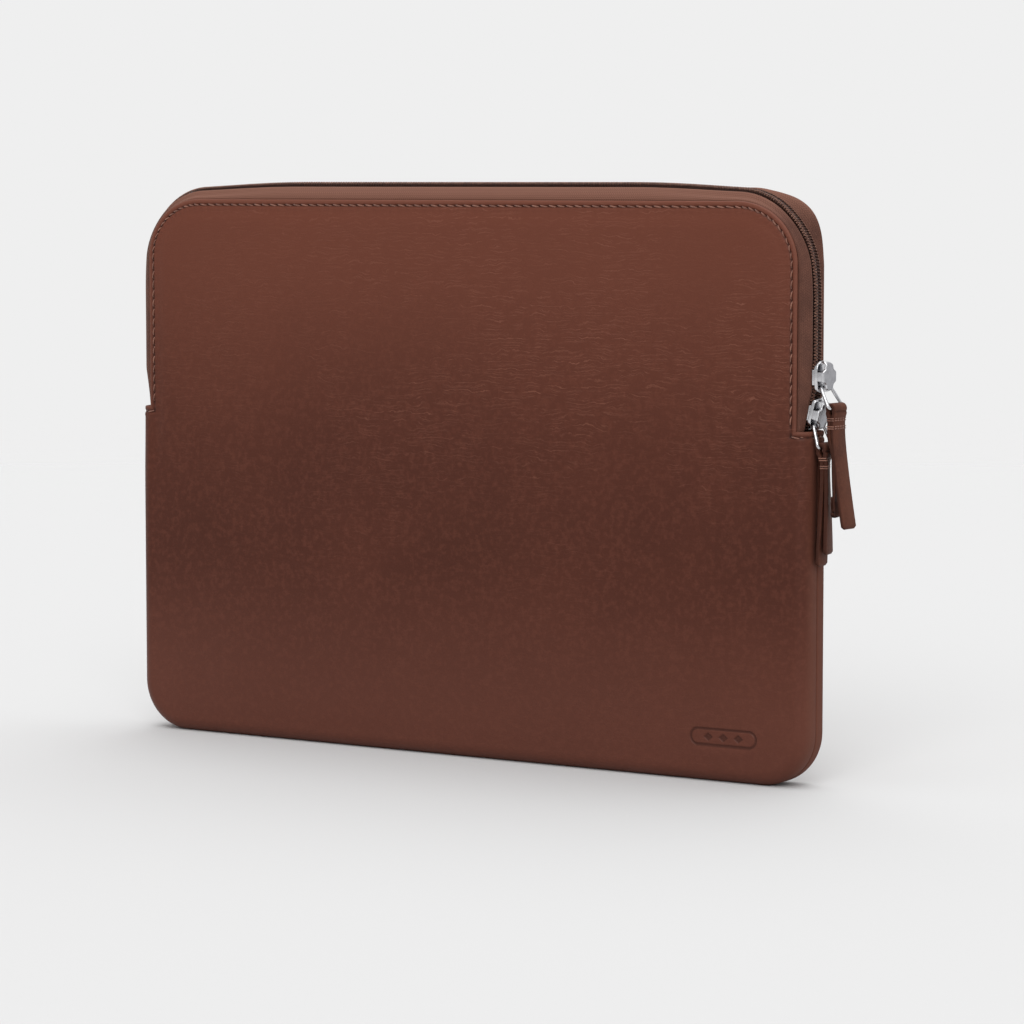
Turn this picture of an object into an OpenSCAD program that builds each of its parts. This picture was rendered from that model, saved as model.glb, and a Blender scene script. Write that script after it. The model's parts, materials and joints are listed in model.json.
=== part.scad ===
// Zip-round leather laptop sleeve, standing on its long bottom edge.
// X runs across the sleeve, -Y is the front, Z is up, and the origin is the middle of the bottom edge.
// Millimetres throughout.

/* [Sleeve] */
// Width over the zip chains and side seams
sleeve_w = 337; // [320:1:360]
// Height from the bottom edge to the top of the zip
sleeve_h = 245; // [235:1:262]
// Thickness over the two leather faces
sleeve_t = 20; // [20:0.5:24]
// Corner radius at the top, measured on the zip chain
top_r = 33; // [30:1:38]
// Corner radius at the bottom
bottom_r = 22; // [20:1:28]

/* [Walls] */
// Leather thickness
leather_t = 1.2; // [1:0.1:1.4]
// Foam thickness
foam_t = 2.2; // [1.8:0.1:2.4]
// Lining thickness
lining_t = 0.6; // [0.4:0.1:0.8]
// Distance from the outer outline to the leather's turned edge beside the zip
panel_inset = 7; // [6.5:0.5:8]

/* [Zip] */
// Height where the zip ends on both sides
zip_end_z = 144.5; // [135:0.5:150]
// Height where the front face bends when the mouth is opened
flap_z = 182; // [180:1:190]
// Radius of one row of coil
coil_r = 1.15; // [1:0.05:1.2]
// Length of a slider
slider_l = 12.6; // [12:0.1:13]

/* [Pulls] */
// Width of a leather pull
pull_w = 10; // [8:0.5:10]
// Length of a pull from its bar to the longer tail
pull_l = 48; // [35:1:55]
// Diameter of the wire rings
wire_d = 1.4; // [1.2:0.1:1.4]

/* [Hidden] */
$fn = 48;

half_w = sleeve_w / 2;
half_t = sleeve_t / 2;
foam_y = half_t - leather_t;          // outer face of the foam
lining_y = foam_y - foam_t;           // outer face of the lining
pocket_y = lining_y - lining_t;       // half thickness of the pocket
rim_r = 6;                            // rounding of the lower rim
pocket_inset = panel_inset + 6;       // from the outer outline to the pocket
big = 400;                            // larger than the sleeve, for clipping
split_gap = 0.15;                     // half the slit between the flap and the lower front
row_y = 1.75;                         // centre of one coil row from the middle of the chain
row_end_z = zip_end_z + 1.3;          // where the coil rows stop above the leather
bend_z = zip_end_z + 17.5;            // below here the chain leans inwards
end_lean = 13;                        // lean of the chain's last stretch, degrees
stitch_pitch = 4.2;
stitch_l = 2.9;
stitch_d = 0.4;
stitch_inset = panel_inset + 3;       // from the outer outline to the stitch line
groove_w = 1.3;                       // groove that the stitches lie in
groove_d = 0.5;
stitch_r = top_r - stitch_inset;      // radius of the stitch line at the corners
notch_stitch_z = zip_end_z - 2.5;     // height of the short run under each notch
pull_t = 1.6;                         // thickness of the pull's leather
ring_top_n = 2.95;                    // height of the ring's top bar over the chain
ring_drop = 10;                       // distance between the ring's two bars

// ---------------------------------------------------------------- outlines

// The sleeve's outline moved inwards by inset, as a flat shape in X and Z.
module outline(inset) {
    w = half_w - inset;
    rt = top_r - inset;
    rb = bottom_r - inset;
    union() {
        translate([-w, bottom_r]) square([2 * w, sleeve_h - top_r - bottom_r]);
        translate([-(half_w - bottom_r), inset]) square([2 * (half_w - bottom_r), bottom_r - inset + 0.01]);
        translate([-(half_w - top_r), sleeve_h - top_r - 0.01])
            square([2 * (half_w - top_r), top_r - inset + 0.01]);
        for (side = [-1, 1]) {
            translate([side * (half_w - bottom_r), bottom_r]) circle(rb);
            translate([side * (half_w - top_r), sleeve_h - top_r]) circle(rt);
        }
    }
}

// A plate of the outline between two depths y0 < y1, kept between heights z0 and z1.
module plate(inset, y0, y1, z0 = 0, z1 = big) {
    translate([0, y1, 0]) rotate([90, 0, 0]) linear_extrude(y1 - y0)
        intersection() {
            outline(inset);
            translate([-big, z0]) square([2 * big, z1 - z0]);
        }
}

// ---------------------------------------------------------------- sweeps
// Every profile is drawn as [distance inwards from the outline, depth y].

module right_side(z0, z1) {
    translate([half_w, 0, z0]) linear_extrude(z1 - z0) mirror([1, 0]) children();
}

module both_sides(z0, z1) {
    right_side(z0, z1) children();
    mirror([1, 0, 0]) right_side(z0, z1) children();
}

// Around the top, from height z0 on one side to the same height on the other.
module over_top(z0) {
    both_sides(z0, sleeve_h - top_r) children();
    for (side = [0, 1]) mirror([side, 0, 0])
        translate([half_w - top_r, 0, sleeve_h - top_r]) rotate([90, 0, 0])
            rotate_extrude(angle = 90) translate([top_r, 0]) rotate(180) children();
    translate([-(half_w - top_r), 0, sleeve_h]) rotate([0, 90, 0])
        linear_extrude(2 * (half_w - top_r)) children();
}

// Around the bottom, up to height z1 on both sides.
module round_bottom(z1) {
    both_sides(bottom_r, z1) children();
    for (side = [0, 1]) mirror([side, 0, 0])
        translate([half_w - bottom_r, 0, bottom_r]) mirror([0, 0, 1]) rotate([90, 0, 0])
            rotate_extrude(angle = 90) translate([bottom_r, 0]) rotate(180) children();
    translate([half_w - bottom_r, 0, 0]) rotate([0, -90, 0])
        linear_extrude(2 * (half_w - bottom_r)) children();
}

// ---------------------------------------------------------------- leather shell

// Quarter-round rim of the front leather, from the face to the seam in the middle.
module rim_profile() {
    translate([0, -half_t + rim_r]) square([leather_t, half_t - rim_r]);
    difference() {
        translate([rim_r, -half_t + rim_r]) circle(rim_r);
        translate([rim_r, -half_t + rim_r]) circle(rim_r - leather_t);
        translate([-1, -half_t + rim_r]) square([2 * rim_r + 2, rim_r + 1]);
        translate([rim_r, -half_t - 1]) square([rim_r + 1, 2 * rim_r + 2]);
    }
    translate([rim_r - 0.01, -half_t]) square([panel_inset - rim_r + 0.02, leather_t]);
}

// Groove along the stitch line, with its short legs under the notches where the zip ends.
module stitch_groove() {
    over_top(notch_stitch_z - groove_w / 2) translate([stitch_inset - groove_w / 2, -half_t - 1])
        square([groove_w, 1 + groove_d]);
    for (side = [0, 1]) mirror([side, 0, 0])
        translate([half_w - stitch_inset - stitch_l / 2, -half_t - 1, notch_stitch_z - groove_w / 2])
            cube([stitch_l + 1, 1 + groove_d, groove_w]);
}

module leather(z0, z1) {
    difference() {
        plate(panel_inset, -half_t, -foam_y, z0, z1);
        stitch_groove();
    }
    if (z0 < zip_end_z) round_bottom(zip_end_z) rim_profile();
}

module front_panel() {
    color("saddlebrown") leather(0, flap_z - split_gap);
}

module flap_panel() {
    color("saddlebrown") leather(flap_z + split_gap, big);
}

module back_panel() {
    color("saddlebrown") mirror([0, 1, 0]) leather(0, big);
}

// ---------------------------------------------------------------- padding and lining

module foam(z0, z1) {
    if (z0 < zip_end_z) plate(panel_inset, -foam_y, -lining_y, 0, zip_end_z);
    plate(pocket_inset + 4, -foam_y, -lining_y, max(z0, zip_end_z - 0.01), z1);
}

module front_foam() {
    color("dimgray") foam(0, flap_z - split_gap);
}

module flap_foam() {
    color("dimgray") foam(flap_z + split_gap, big);
}

module back_foam() {
    color("dimgray") mirror([0, 1, 0]) foam(0, big);
}

module lining_wall_profile() {
    translate([pocket_inset - lining_t, -lining_y]) square([lining_t, lining_y]);
}

module lining(z0, z1) {
    plate(pocket_inset - lining_t, -lining_y, -pocket_y, z0, z1);
    if (z0 < zip_end_z) round_bottom(zip_end_z) lining_wall_profile();
}

module front_lining() {
    color("tan") lining(0, flap_z - split_gap);
}

module flap_lining() {
    color("tan") lining(flap_z + split_gap, big);
}

module back_lining() {
    color("tan") mirror([0, 1, 0]) lining(0, big);
}

// Foam strip that pads the bottom and the lower sides.
module edge_bumper() {
    color("gray") round_bottom(zip_end_z - 10)
        translate([leather_t + 1, -lining_y + 0.2])
            square([pocket_inset - lining_t - leather_t - 1.2, 2 * lining_y - 0.4]);
}

// ---------------------------------------------------------------- zip

// Tape: flat beside the chain, then curving down to lie under the leather's turned edge.
module tape_profile(root) {
    t = 0.7;
    polygon([
        [0.9, -3.0], [0.9, -5.7], [2.4, -7.6], [panel_inset - 1.6, -foam_y + 0.1], [root, -foam_y + 0.1],
        [root, -foam_y + 0.1 + t], [panel_inset - 1.2, -foam_y + 0.1 + t], [3.0, -7.1],
        [0.9 + t, -5.3], [0.9 + t, -3.0]
    ]);
}

module coil_profile() {
    translate([coil_r, -row_y]) circle(coil_r, $fn = 32);
}

// The chain's last stretch, which leans inwards as it runs down to its stop.
module lean(side) {
    mirror([side, 0, 0]) translate([half_w, 0, bend_z]) rotate([0, end_lean, 0])
        translate([-half_w, 0, -bend_z]) children();
}

module chain_end_tape() {
    for (side = [0, 1]) lean(side) right_side(row_end_z - 0.5, bend_z - 0.6) tape_profile(panel_inset + 1.5);
}

module chain_end_coil() {
    for (side = [0, 1]) lean(side) right_side(row_end_z, bend_z - 0.3) coil_profile();
}

module front_zip_tape_ends() {
    color("brown") {
        both_sides(bend_z, flap_z - split_gap) tape_profile(panel_inset + 5);
        chain_end_tape();
    }
}

module front_zip_coil_ends() {
    color("black") {
        both_sides(bend_z, flap_z - split_gap) coil_profile();
        chain_end_coil();
    }
}

module flap_zip_tape() {
    color("brown") over_top(flap_z + split_gap) tape_profile(panel_inset + 5);
}

module flap_zip_coil() {
    color("black") over_top(flap_z + split_gap) coil_profile();
}

module back_zip_tape() {
    color("brown") mirror([0, 1, 0]) {
        over_top(bend_z) tape_profile(panel_inset + 5);
        chain_end_tape();
    }
}

module back_zip_coil() {
    color("black") mirror([0, 1, 0]) {
        over_top(bend_z) coil_profile();
        chain_end_coil();
    }
}

// Metal stop that closes one end of the chain.
module zip_stop(side) {
    color("silver") lean(side) translate([half_w - 2.5, -2.9, row_end_z - 1.15]) cube([2.6, 5.8, 1.1]);
}

// ---------------------------------------------------------------- topstitching

// One stitch lying in the groove of the front leather, centred on [x, z] and turned by angle.
module stitch(x, z, angle) {
    translate([x, -half_t + groove_d - stitch_d, z]) rotate([0, -angle, 0])
        translate([-stitch_l / 2, 0, -stitch_d]) cube([stitch_l, stitch_d, 2 * stitch_d]);
}

module side_stitches(z0, z1) {
    for (side = [-1, 1], z = [z0 : stitch_pitch : z1])
        stitch(side * (half_w - stitch_inset), z, 90);
}

module top_stitches() {
    corner_n = floor(stitch_r * PI / 2 / stitch_pitch);
    top_n = floor(2 * (half_w - top_r) / stitch_pitch);
    for (side = [-1, 1], i = [0 : corner_n - 1]) {
        a = (i + 0.5) * 90 / corner_n;
        stitch(side * (half_w - top_r + stitch_r * cos(a)), sleeve_h - top_r + stitch_r * sin(a),
               side * (a + 90));
    }
    for (i = [0 : top_n - 1])
        stitch((i + 0.5 - top_n / 2) * stitch_pitch, sleeve_h - stitch_inset, 0);
}

// Short run under the notch where the zip ends.
module notch_stitches() {
    for (side = [-1, 1])
        stitch(side * (half_w - stitch_inset + 0.5), notch_stitch_z, 0);
}

module front_side_stitches() {
    color("sienna") {
        side_stitches(zip_end_z + 1, flap_z - stitch_l);
        notch_stitches();
    }
}

module flap_topstitch() {
    color("sienna") {
        side_stitches(flap_z + stitch_l, sleeve_h - top_r - stitch_l);
        top_stitches();
    }
}

module back_topstitch() {
    color("sienna") mirror([0, 1, 0]) {
        side_stitches(zip_end_z + 1, sleeve_h - top_r - stitch_l);
        top_stitches();
        notch_stitches();
    }
}

// ---------------------------------------------------------------- sliders
// In a slider's own frame x is the height over the chain, z runs along the chain,
// and the mouth end, where the two rows come apart, is at +z.

body_half_w = 5.2;
plate_n0 = 0.4;                       // underside of the top plate
plate_n1 = 1.9;                       // top of the top plate
cap_n0 = 4.0;                         // underside of the cap's bridge
cap_n1 = 5.2;                         // top of the cap
cap_half_l = 6.2;
cap_half_w = 5.6;                     // between the shoulders
cap_end_w = 2.2;                      // half width at the two ends
cap_neck_w = 3.3;                     // half width just past the shoulders
cap_shoulder = 1.9;                   // half the length of the widest part
cap_neck = 3;                         // where the cap has narrowed to its neck
foot_l = 1;
wall_y = 4.5;                         // the cap's side walls, which stand over the guides
wall_t = 1.2;
wall_l = 3.6;
guide_t = 1;
guide_l = 6.4;
guide_z = -2.9;                       // lower end of the guides
wedge_t = 0.7;
wedge_z = 3.1;                        // lower end of the wedge that parts the two rows
pin_z = -1.2;                         // where the lock's pin goes through the top plate

module slider_plan() {
    h = slider_l / 2;
    polygon([
        [-h, -3.2], [-h, 3.2], [-h + 2.4, body_half_w], [h - 5.4, body_half_w], [h - 0.6, 4.4], [h, 3.4],
        [h, -3.4], [h - 0.6, -4.4], [h - 5.4, -body_half_w], [-h + 2.4, -body_half_w]
    ]);
}

// A plate of the slider's plan between two heights over the chain.
module slider_plate(n0, n1) {
    translate([n0, 0, 0]) rotate([0, 90, 0]) linear_extrude(n1 - n0) slider_plan();
}

module slider_body() {
    color("silver") union() {
        difference() {
            slider_plate(plate_n0, plate_n1);
            translate([plate_n0 - 1, 0, pin_z]) rotate([0, 90, 0]) cylinder(r = 0.75, h = 3.5, $fn = 24);
        }
        slider_plate(-3.85, -2.75);
        for (side = [-1, 1]) {
            translate([0, side * wall_y - guide_t / 2, guide_z]) {
                translate([-0.6, 0, 0]) cube([1.01, guide_t, guide_l]);
                translate([-2.76, 0, 0]) cube([0.76, guide_t, guide_l]);
            }
        }
        translate([-2.8, -wedge_t / 2, wedge_z]) cube([3.3, wedge_t, 2.7]);
    }
}

// The cap is widest between its shoulders and leaves the ring's legs free at both ends.
module cap_plan() {
    for (end = [0, 1]) mirror([end, 0]) polygon([
        [-0.01, -cap_half_w], [cap_shoulder, -cap_half_w], [cap_neck, -cap_neck_w], [cap_half_l, -cap_end_w],
        [cap_half_l, cap_end_w], [cap_neck, cap_neck_w], [cap_shoulder, cap_half_w], [-0.01, cap_half_w]
    ]);
}

module slider_cap() {
    gap = cap_n0 - plate_n1 + 0.01;
    color("silver") union() {
        translate([cap_n0, 0, 0]) rotate([0, 90, 0]) linear_extrude(cap_n1 - cap_n0) cap_plan();
        for (z = [-cap_half_l, cap_half_l - foot_l])
            translate([plate_n1, -cap_end_w, z]) cube([gap, 2 * cap_end_w, foot_l]);
        for (side = [-1, 1])
            translate([plate_n1, side * wall_y - wall_t / 2, -wall_l / 2]) cube([gap, wall_t, wall_l]);
    }
}

// Leaf spring under the cap, with the pin that locks the slider.
module lock_spring() {
    color("gray") union() {
        translate([3.74, -1.2, -cap_half_l + foot_l]) cube([0.26, 2.4, 2 * (cap_half_l - foot_l)]);
        translate([0.1, -0.4, pin_z - 0.4]) cube([3.65, 0.8, 0.8]);
    }
}

// ---------------------------------------------------------------- pulls
// A ring's frame has its top bar on the y axis and hangs down -z. A strap's frame has its bar on the y axis.

ring_top_w = 4.2;                     // half the width of the ring at its top bar
ring_bottom_w = 6.6;                  // half the width at its bottom bar

module wire(a, b) {
    d = b - a;
    l = norm(d);
    translate(a) rotate([0, acos(d[2] / l), atan2(d[1], d[0])]) cylinder(d = wire_d, h = l, $fn = 24);
}

module ring() {
    corners = [[0, -ring_top_w, 0], [0, ring_top_w, 0],
               [0, ring_bottom_w, -ring_drop], [0, -ring_bottom_w, -ring_drop]];
    color("silver") union() for (i = [0 : 3]) {
        wire(corners[i], corners[(i + 1) % 4]);
        translate(corners[i]) sphere(d = 1.15 * wire_d, $fn = 24);
    }
}

neck_l = 9;                           // from the bar to where the two tails part

// Leather folded over the bar: a loop, a sewn neck and two tails. The outer tail stands off by splay degrees.
module strap(short, splay) {
    loop_in = wire_d / 2 + 0.1;
    color("chocolate") union() {
        difference() {
            union() {
                rotate([90, 0, 0]) cylinder(r = loop_in + pull_t, h = pull_w, center = true);
                translate([-pull_t, -pull_w / 2, -neck_l]) cube([2 * pull_t, pull_w, neck_l]);
            }
            rotate([90, 0, 0]) cylinder(r = loop_in, h = pull_w + 2, center = true);
        }
        translate([-pull_t, -pull_w / 2, -(pull_l - short)])
            cube([pull_t, pull_w, pull_l - short - neck_l + 0.01]);
        translate([0, 0, -neck_l + 0.3]) rotate([0, -splay, 0])
            translate([0, -pull_w / 2, -(pull_l - neck_l)]) cube([pull_t, pull_w, pull_l - neck_l]);
    }
}

// Two pairs of thread bars sewn round the neck.
module strap_stitches() {
    color("sienna") for (z = [-3.6, -4.6, -7.0, -8.0]) difference() {
        translate([-pull_t - 0.3, -pull_w / 2 - 0.3, z - 0.3]) cube([2 * pull_t + 0.6, pull_w + 0.6, 0.6]);
        translate([-pull_t, -pull_w / 2, z - 1]) cube([2 * pull_t, pull_w, 2]);
    }
}

// ---------------------------------------------------------------- where the pulls sit

upper_z = 167.3;                      // middle of the upper slider
lower_d = bend_z - 152.3;             // from the bend to the middle of the lower slider, along the chain
ring_low = 4.0;                       // the rings hang this far below the middle of their sliders
upper_tilt = -30;                     // the upper ring leans out over the lower slider
lower_tilt = -20;

module at_upper() {
    translate([half_w, 0, upper_z]) children();
}

module at_lower() {
    translate([half_w, 0, bend_z]) rotate([0, end_lean, 0]) translate([0, 0, -lower_d]) children();
}

upper_bar = [half_w + ring_top_n, 0, upper_z - ring_low];
lower_bar = [half_w + ring_top_n * cos(end_lean) - (lower_d + ring_low) * sin(end_lean), 0,
             bend_z - ring_top_n * sin(end_lean) - (lower_d + ring_low) * cos(end_lean)];

module at_ring(bar, tilt) {
    translate(bar) rotate([0, tilt, 0]) children();
}

module at_strap(bar, tilt) {
    translate(bar + ring_drop * [-sin(tilt), 0, -cos(tilt)]) children();
}

// The upper slider's mouth faces down and the lower one's faces up.
module upper_slider() {
    at_upper() mirror([0, 0, 1]) children();
}

back_panel();
back_foam();
back_lining();
back_zip_tape();
back_zip_coil();
back_topstitch();
front_panel();
front_foam();
front_lining();
front_zip_tape_ends();
front_zip_coil_ends();
front_side_stitches();
edge_bumper();
zip_stop(1);  // zip_stop_left
zip_stop(0);  // zip_stop_right
flap_panel();
flap_foam();
flap_lining();
flap_zip_tape();
flap_zip_coil();
flap_topstitch();
upper_slider() slider_body();  // upper_slider_body
upper_slider() slider_cap();  // upper_slider_cap
upper_slider() lock_spring();  // upper_lock_spring
at_ring(upper_bar, upper_tilt) ring();  // upper_pull_ring
at_strap(upper_bar, upper_tilt) strap(4.4, 6.5);  // upper_pull_strap
at_strap(upper_bar, upper_tilt) strap_stitches();  // upper_pull_stitches
at_lower() slider_body();  // lower_slider_body
at_lower() slider_cap();  // lower_slider_cap
at_lower() lock_spring();  // lower_lock_spring
at_ring(lower_bar, lower_tilt) ring();  // lower_pull_ring
at_strap(lower_bar, lower_tilt) strap(0, 0.6);  // lower_pull_strap
at_strap(lower_bar, lower_tilt) strap_stitches();  // lower_pull_stitches
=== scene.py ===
import json
import math

import bmesh
import bpy
import numpy as np
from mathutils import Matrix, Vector
from mathutils.geometry import delaunay_2d_cdt


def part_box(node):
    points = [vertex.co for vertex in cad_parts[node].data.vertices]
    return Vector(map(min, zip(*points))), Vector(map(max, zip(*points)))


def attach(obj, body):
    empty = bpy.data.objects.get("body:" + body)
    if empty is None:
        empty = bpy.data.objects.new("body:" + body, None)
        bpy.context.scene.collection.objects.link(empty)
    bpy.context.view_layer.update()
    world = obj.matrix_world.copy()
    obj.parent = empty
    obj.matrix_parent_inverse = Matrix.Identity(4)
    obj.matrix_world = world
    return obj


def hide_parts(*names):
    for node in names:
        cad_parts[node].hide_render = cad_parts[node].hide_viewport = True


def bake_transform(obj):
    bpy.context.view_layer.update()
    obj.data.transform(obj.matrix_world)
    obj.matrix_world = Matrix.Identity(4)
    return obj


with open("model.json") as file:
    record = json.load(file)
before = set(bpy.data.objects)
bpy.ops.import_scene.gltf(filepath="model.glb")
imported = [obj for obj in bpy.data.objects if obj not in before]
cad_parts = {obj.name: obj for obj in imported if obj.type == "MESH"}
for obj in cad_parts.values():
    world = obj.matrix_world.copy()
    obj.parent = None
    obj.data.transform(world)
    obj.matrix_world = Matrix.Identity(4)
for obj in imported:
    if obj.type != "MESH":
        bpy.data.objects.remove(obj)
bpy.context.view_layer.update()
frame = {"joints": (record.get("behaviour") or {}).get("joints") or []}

# A brown leather laptop sleeve, zipped round the top. All sizes below are in millimetres;
# meshes are scaled to metres when they are made.
MM = 0.001


# ------------------------------------------------------------------ sizes taken from the frame

def box_mm(node):
    lo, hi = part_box(node)
    return np.array(lo) / MM, np.array(hi) / MM


JOINTS = {j["name"]: j for j in frame["joints"]}


def joint_mm(name):
    return np.array(JOINTS[name]["pos_m"]) / MM


HALF_W = box_mm("back_zip_coil")[1][0]
HEIGHT = box_mm("back_zip_coil")[1][2]
HALF_T = box_mm("back_panel")[1][1]
BUMPER_DROP = 10.0
ZIP_END = box_mm("edge_bumper")[1][2] + BUMPER_DROP
LEAN_AXIS = np.array(JOINTS["lower_slider_travel"]["axis"])
LEAN = math.atan2(LEAN_AXIS[0], LEAN_AXIS[2])
BEND_Z = ZIP_END + 17.5
TOP_R = 33.0
BOTTOM_R = 22.0
STITCH_PITCH = 4.2


BEVEL_ANGLE = 40           # edges sharper than this many degrees are rounded
FILL_INSIDE = 1            # the triangulation keeps only what lies inside its loop
FILL_EPSILON = 1e-5


def smooth(lo, hi, v):
    t = np.clip((np.asarray(v, float) - lo) / (hi - lo), 0, 1)
    return t * t * (3 - 2 * t)


def mix(a, b, t):
    return a + (b - a) * t


# ------------------------------------------------------------------ the outline

RUN_BOTTOM = HALF_W - BOTTOM_R
ARC_BOTTOM = math.pi / 2 * BOTTOM_R
RUN_SIDE = HEIGHT - TOP_R - BOTTOM_R
ARC_TOP = math.pi / 2 * TOP_R
RUN_TOP = HALF_W - TOP_R
HALF_LOOP = RUN_BOTTOM + ARC_BOTTOM + RUN_SIDE + ARC_TOP + RUN_TOP
NOTCH_S = RUN_BOTTOM + ARC_BOTTOM + ZIP_END - BOTTOM_R


def outline(s):
    """Point and outward normal (x, z) at arc length s, from the bottom's middle towards +X."""
    s = np.mod(np.asarray(s, float), 2 * HALF_LOOP)
    left = s > HALF_LOOP
    q = np.where(left, 2 * HALF_LOOP - s, s)
    side_start = RUN_BOTTOM + ARC_BOTTOM
    top_start = side_start + RUN_SIDE + ARC_TOP
    low = np.clip((q - RUN_BOTTOM) / BOTTOM_R, 0, math.pi / 2)
    high = np.clip((q - side_start - RUN_SIDE) / TOP_R, 0, math.pi / 2)
    on_low = q < side_start
    nx = np.where(on_low, np.sin(low), np.cos(high))
    nz = np.where(on_low, -np.cos(low), np.sin(high))
    x = np.where(on_low, RUN_BOTTOM + BOTTOM_R * np.sin(low), RUN_TOP + TOP_R * np.cos(high))
    x = np.where(q < RUN_BOTTOM, q, x)
    x = np.where(q > top_start, RUN_TOP - (q - top_start), x)
    z = np.where(on_low, BOTTOM_R * (1 - np.cos(low)), BOTTOM_R + np.clip(q - side_start, 0, RUN_SIDE))
    z = np.where(on_low, z, z + TOP_R * np.sin(high))
    sign = np.where(left, -1.0, 1.0)
    return np.stack([sign * x, z], -1), np.stack([sign * nx, nz], -1)


def lean_shift(z):
    """How far the chain has moved inwards at height z, below the bend."""
    return np.clip(BEND_Z - z, 0, None) * math.tan(LEAN)


def from_corner(s):
    """Arc length from the middle of the nearer top corner: positive on the top's side."""
    q = np.mod(np.asarray(s, float), 2 * HALF_LOOP)
    q = np.minimum(q, 2 * HALF_LOOP - q)
    return q - (RUN_BOTTOM + ARC_BOTTOM + RUN_SIDE + ARC_TOP / 2)


def hump(distance, reach):
    """1 at no distance, falling smoothly to 0 at reach."""
    return np.cos(np.clip(np.abs(distance) / reach, 0, 1) * math.pi / 2) ** 2


def corner_dip(s):
    """1 in the middle of a top corner, where the stiff chain cuts across, and 0 away from it."""
    d = from_corner(s)
    return hump(d, np.where(d < 0, 40.0, 78.0))


def edge_inset(normal):
    """Distance from the outline to the panel's turned edge: more at the top than at the sides."""
    return 6.2 + 2.0 * np.clip(normal[..., 1], 0, 1) ** 2


def edge_inset_along(normals):
    """The same along the zip, where normals that point down count as the side's."""
    return edge_inset(np.where(normals[:, 1:] > 0, normals, [[1.0, 0.0]]))


# ------------------------------------------------------------------ mesh helpers

def add_object(name, data):
    obj = bpy.data.objects.new(name, data)
    bpy.context.scene.collection.objects.link(obj)
    return obj


def shade_smooth(mesh):
    mesh.polygons.foreach_set("use_smooth", [True] * len(mesh.polygons))


def make_piece(name, verts, faces, material):
    """A mesh object from millimetre points, with its rest place kept for the materials."""
    mesh = bpy.data.meshes.new(name)
    verts = np.asarray(verts, float)
    mesh.from_pydata((verts * MM).tolist(), [], [list(map(int, f)) for f in faces])
    mesh.validate()
    mesh.update()
    bm = bmesh.new()
    bm.from_mesh(mesh)
    bmesh.ops.recalc_face_normals(bm, faces=bm.faces)
    bm.to_mesh(mesh)
    bm.free()
    shade_smooth(mesh)
    obj = add_object(name, mesh)
    mesh.materials.append(material)
    store_rest(obj)
    return obj


def store_rest(obj):
    mesh = obj.data
    co = np.zeros(len(mesh.vertices) * 3, np.float32)
    mesh.vertices.foreach_get("co", co)
    rest = mesh.attributes.get("rest") or mesh.attributes.new("rest", "FLOAT_VECTOR", "POINT")
    rest.data.foreach_set("vector", co)


def store_values(obj, name, values):
    attribute = obj.data.attributes.new(name, "FLOAT", "POINT")
    attribute.data.foreach_set("value", np.asarray(values, np.float32))


def fill_slot(obj, nodes):
    if nodes:
        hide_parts(*nodes)


def on_body(obj, body, slot, *nodes):
    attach(obj, body)
    fill_slot(obj, nodes)


def on_front(obj, slot, *nodes):
    """A soft piece of the front: its place is baked into its mesh, and the CAD parts it stands for are
    hidden.
    """
    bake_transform(obj)
    fill_slot(obj, nodes)


def unit(vectors):
    """The same vectors, one to a row, with length 1."""
    return vectors / np.linalg.norm(vectors, axis=1)[:, None]


def run_lengths(points):
    """How far along the line each of its points lies."""
    return np.r_[0, np.cumsum(np.linalg.norm(np.diff(points, axis=0), axis=1))]


def past_corner(points, radius, top):
    """How far (x, z) points lie past the centres of the outline's top or bottom corners."""
    x, z = points[:, 0], points[:, 1]
    beyond = z - (HEIGHT - radius) if top else radius - z
    return np.hypot(np.clip(np.abs(x) - (HALF_W - radius), 0, None), np.clip(beyond, 0, None))


def fill_loop(ring, inside, points, depth_at):
    """Faces that fill the loop of points numbered in ring, by way of the loose (x, z) points inside it.
    These are added to points, each at the depth that depth_at gives."""
    loop = [Vector((points[i][0], points[i][2])) for i in ring]
    count = len(ring)
    edges = [(i, (i + 1) % count) for i in range(count)]
    out = delaunay_2d_cdt(loop + [Vector(q) for q in inside], edges, [], FILL_INSIDE, FILL_EPSILON)
    ids = []
    for (x, z), source in zip(out[0], out[3]):
        if source and source[0] < count:
            ids.append(ring[source[0]])
        else:
            ids.append(len(points))
            points.append((x, depth_at(x, z), z))
    return [[ids[i] for i in face] for face in out[2]]


def grid_faces(rows, cols, closed_rows=False, closed_cols=False, start=0):
    """Quads over a rows x cols block of points, numbered row by row."""
    faces = []
    for i in range(rows if closed_rows else rows - 1):
        for j in range(cols if closed_cols else cols - 1):
            i2, j2 = (i + 1) % rows, (j + 1) % cols
            faces.append((start + i * cols + j, start + i2 * cols + j,
                          start + i2 * cols + j2, start + i * cols + j2))
    return faces


def wall_faces(rows, cols):
    """Quads that join the borders of two equal blocks of points numbered one after the other."""
    block = rows * cols
    loop = ([i * cols for i in range(rows)] + [(rows - 1) * cols + j for j in range(1, cols)]
            + [i * cols + cols - 1 for i in range(rows - 2, -1, -1)] + list(range(cols - 2, 0, -1)))
    return [(a, a + block, b + block, b) for a, b in zip(loop, loop[1:] + loop[:1])]


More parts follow.
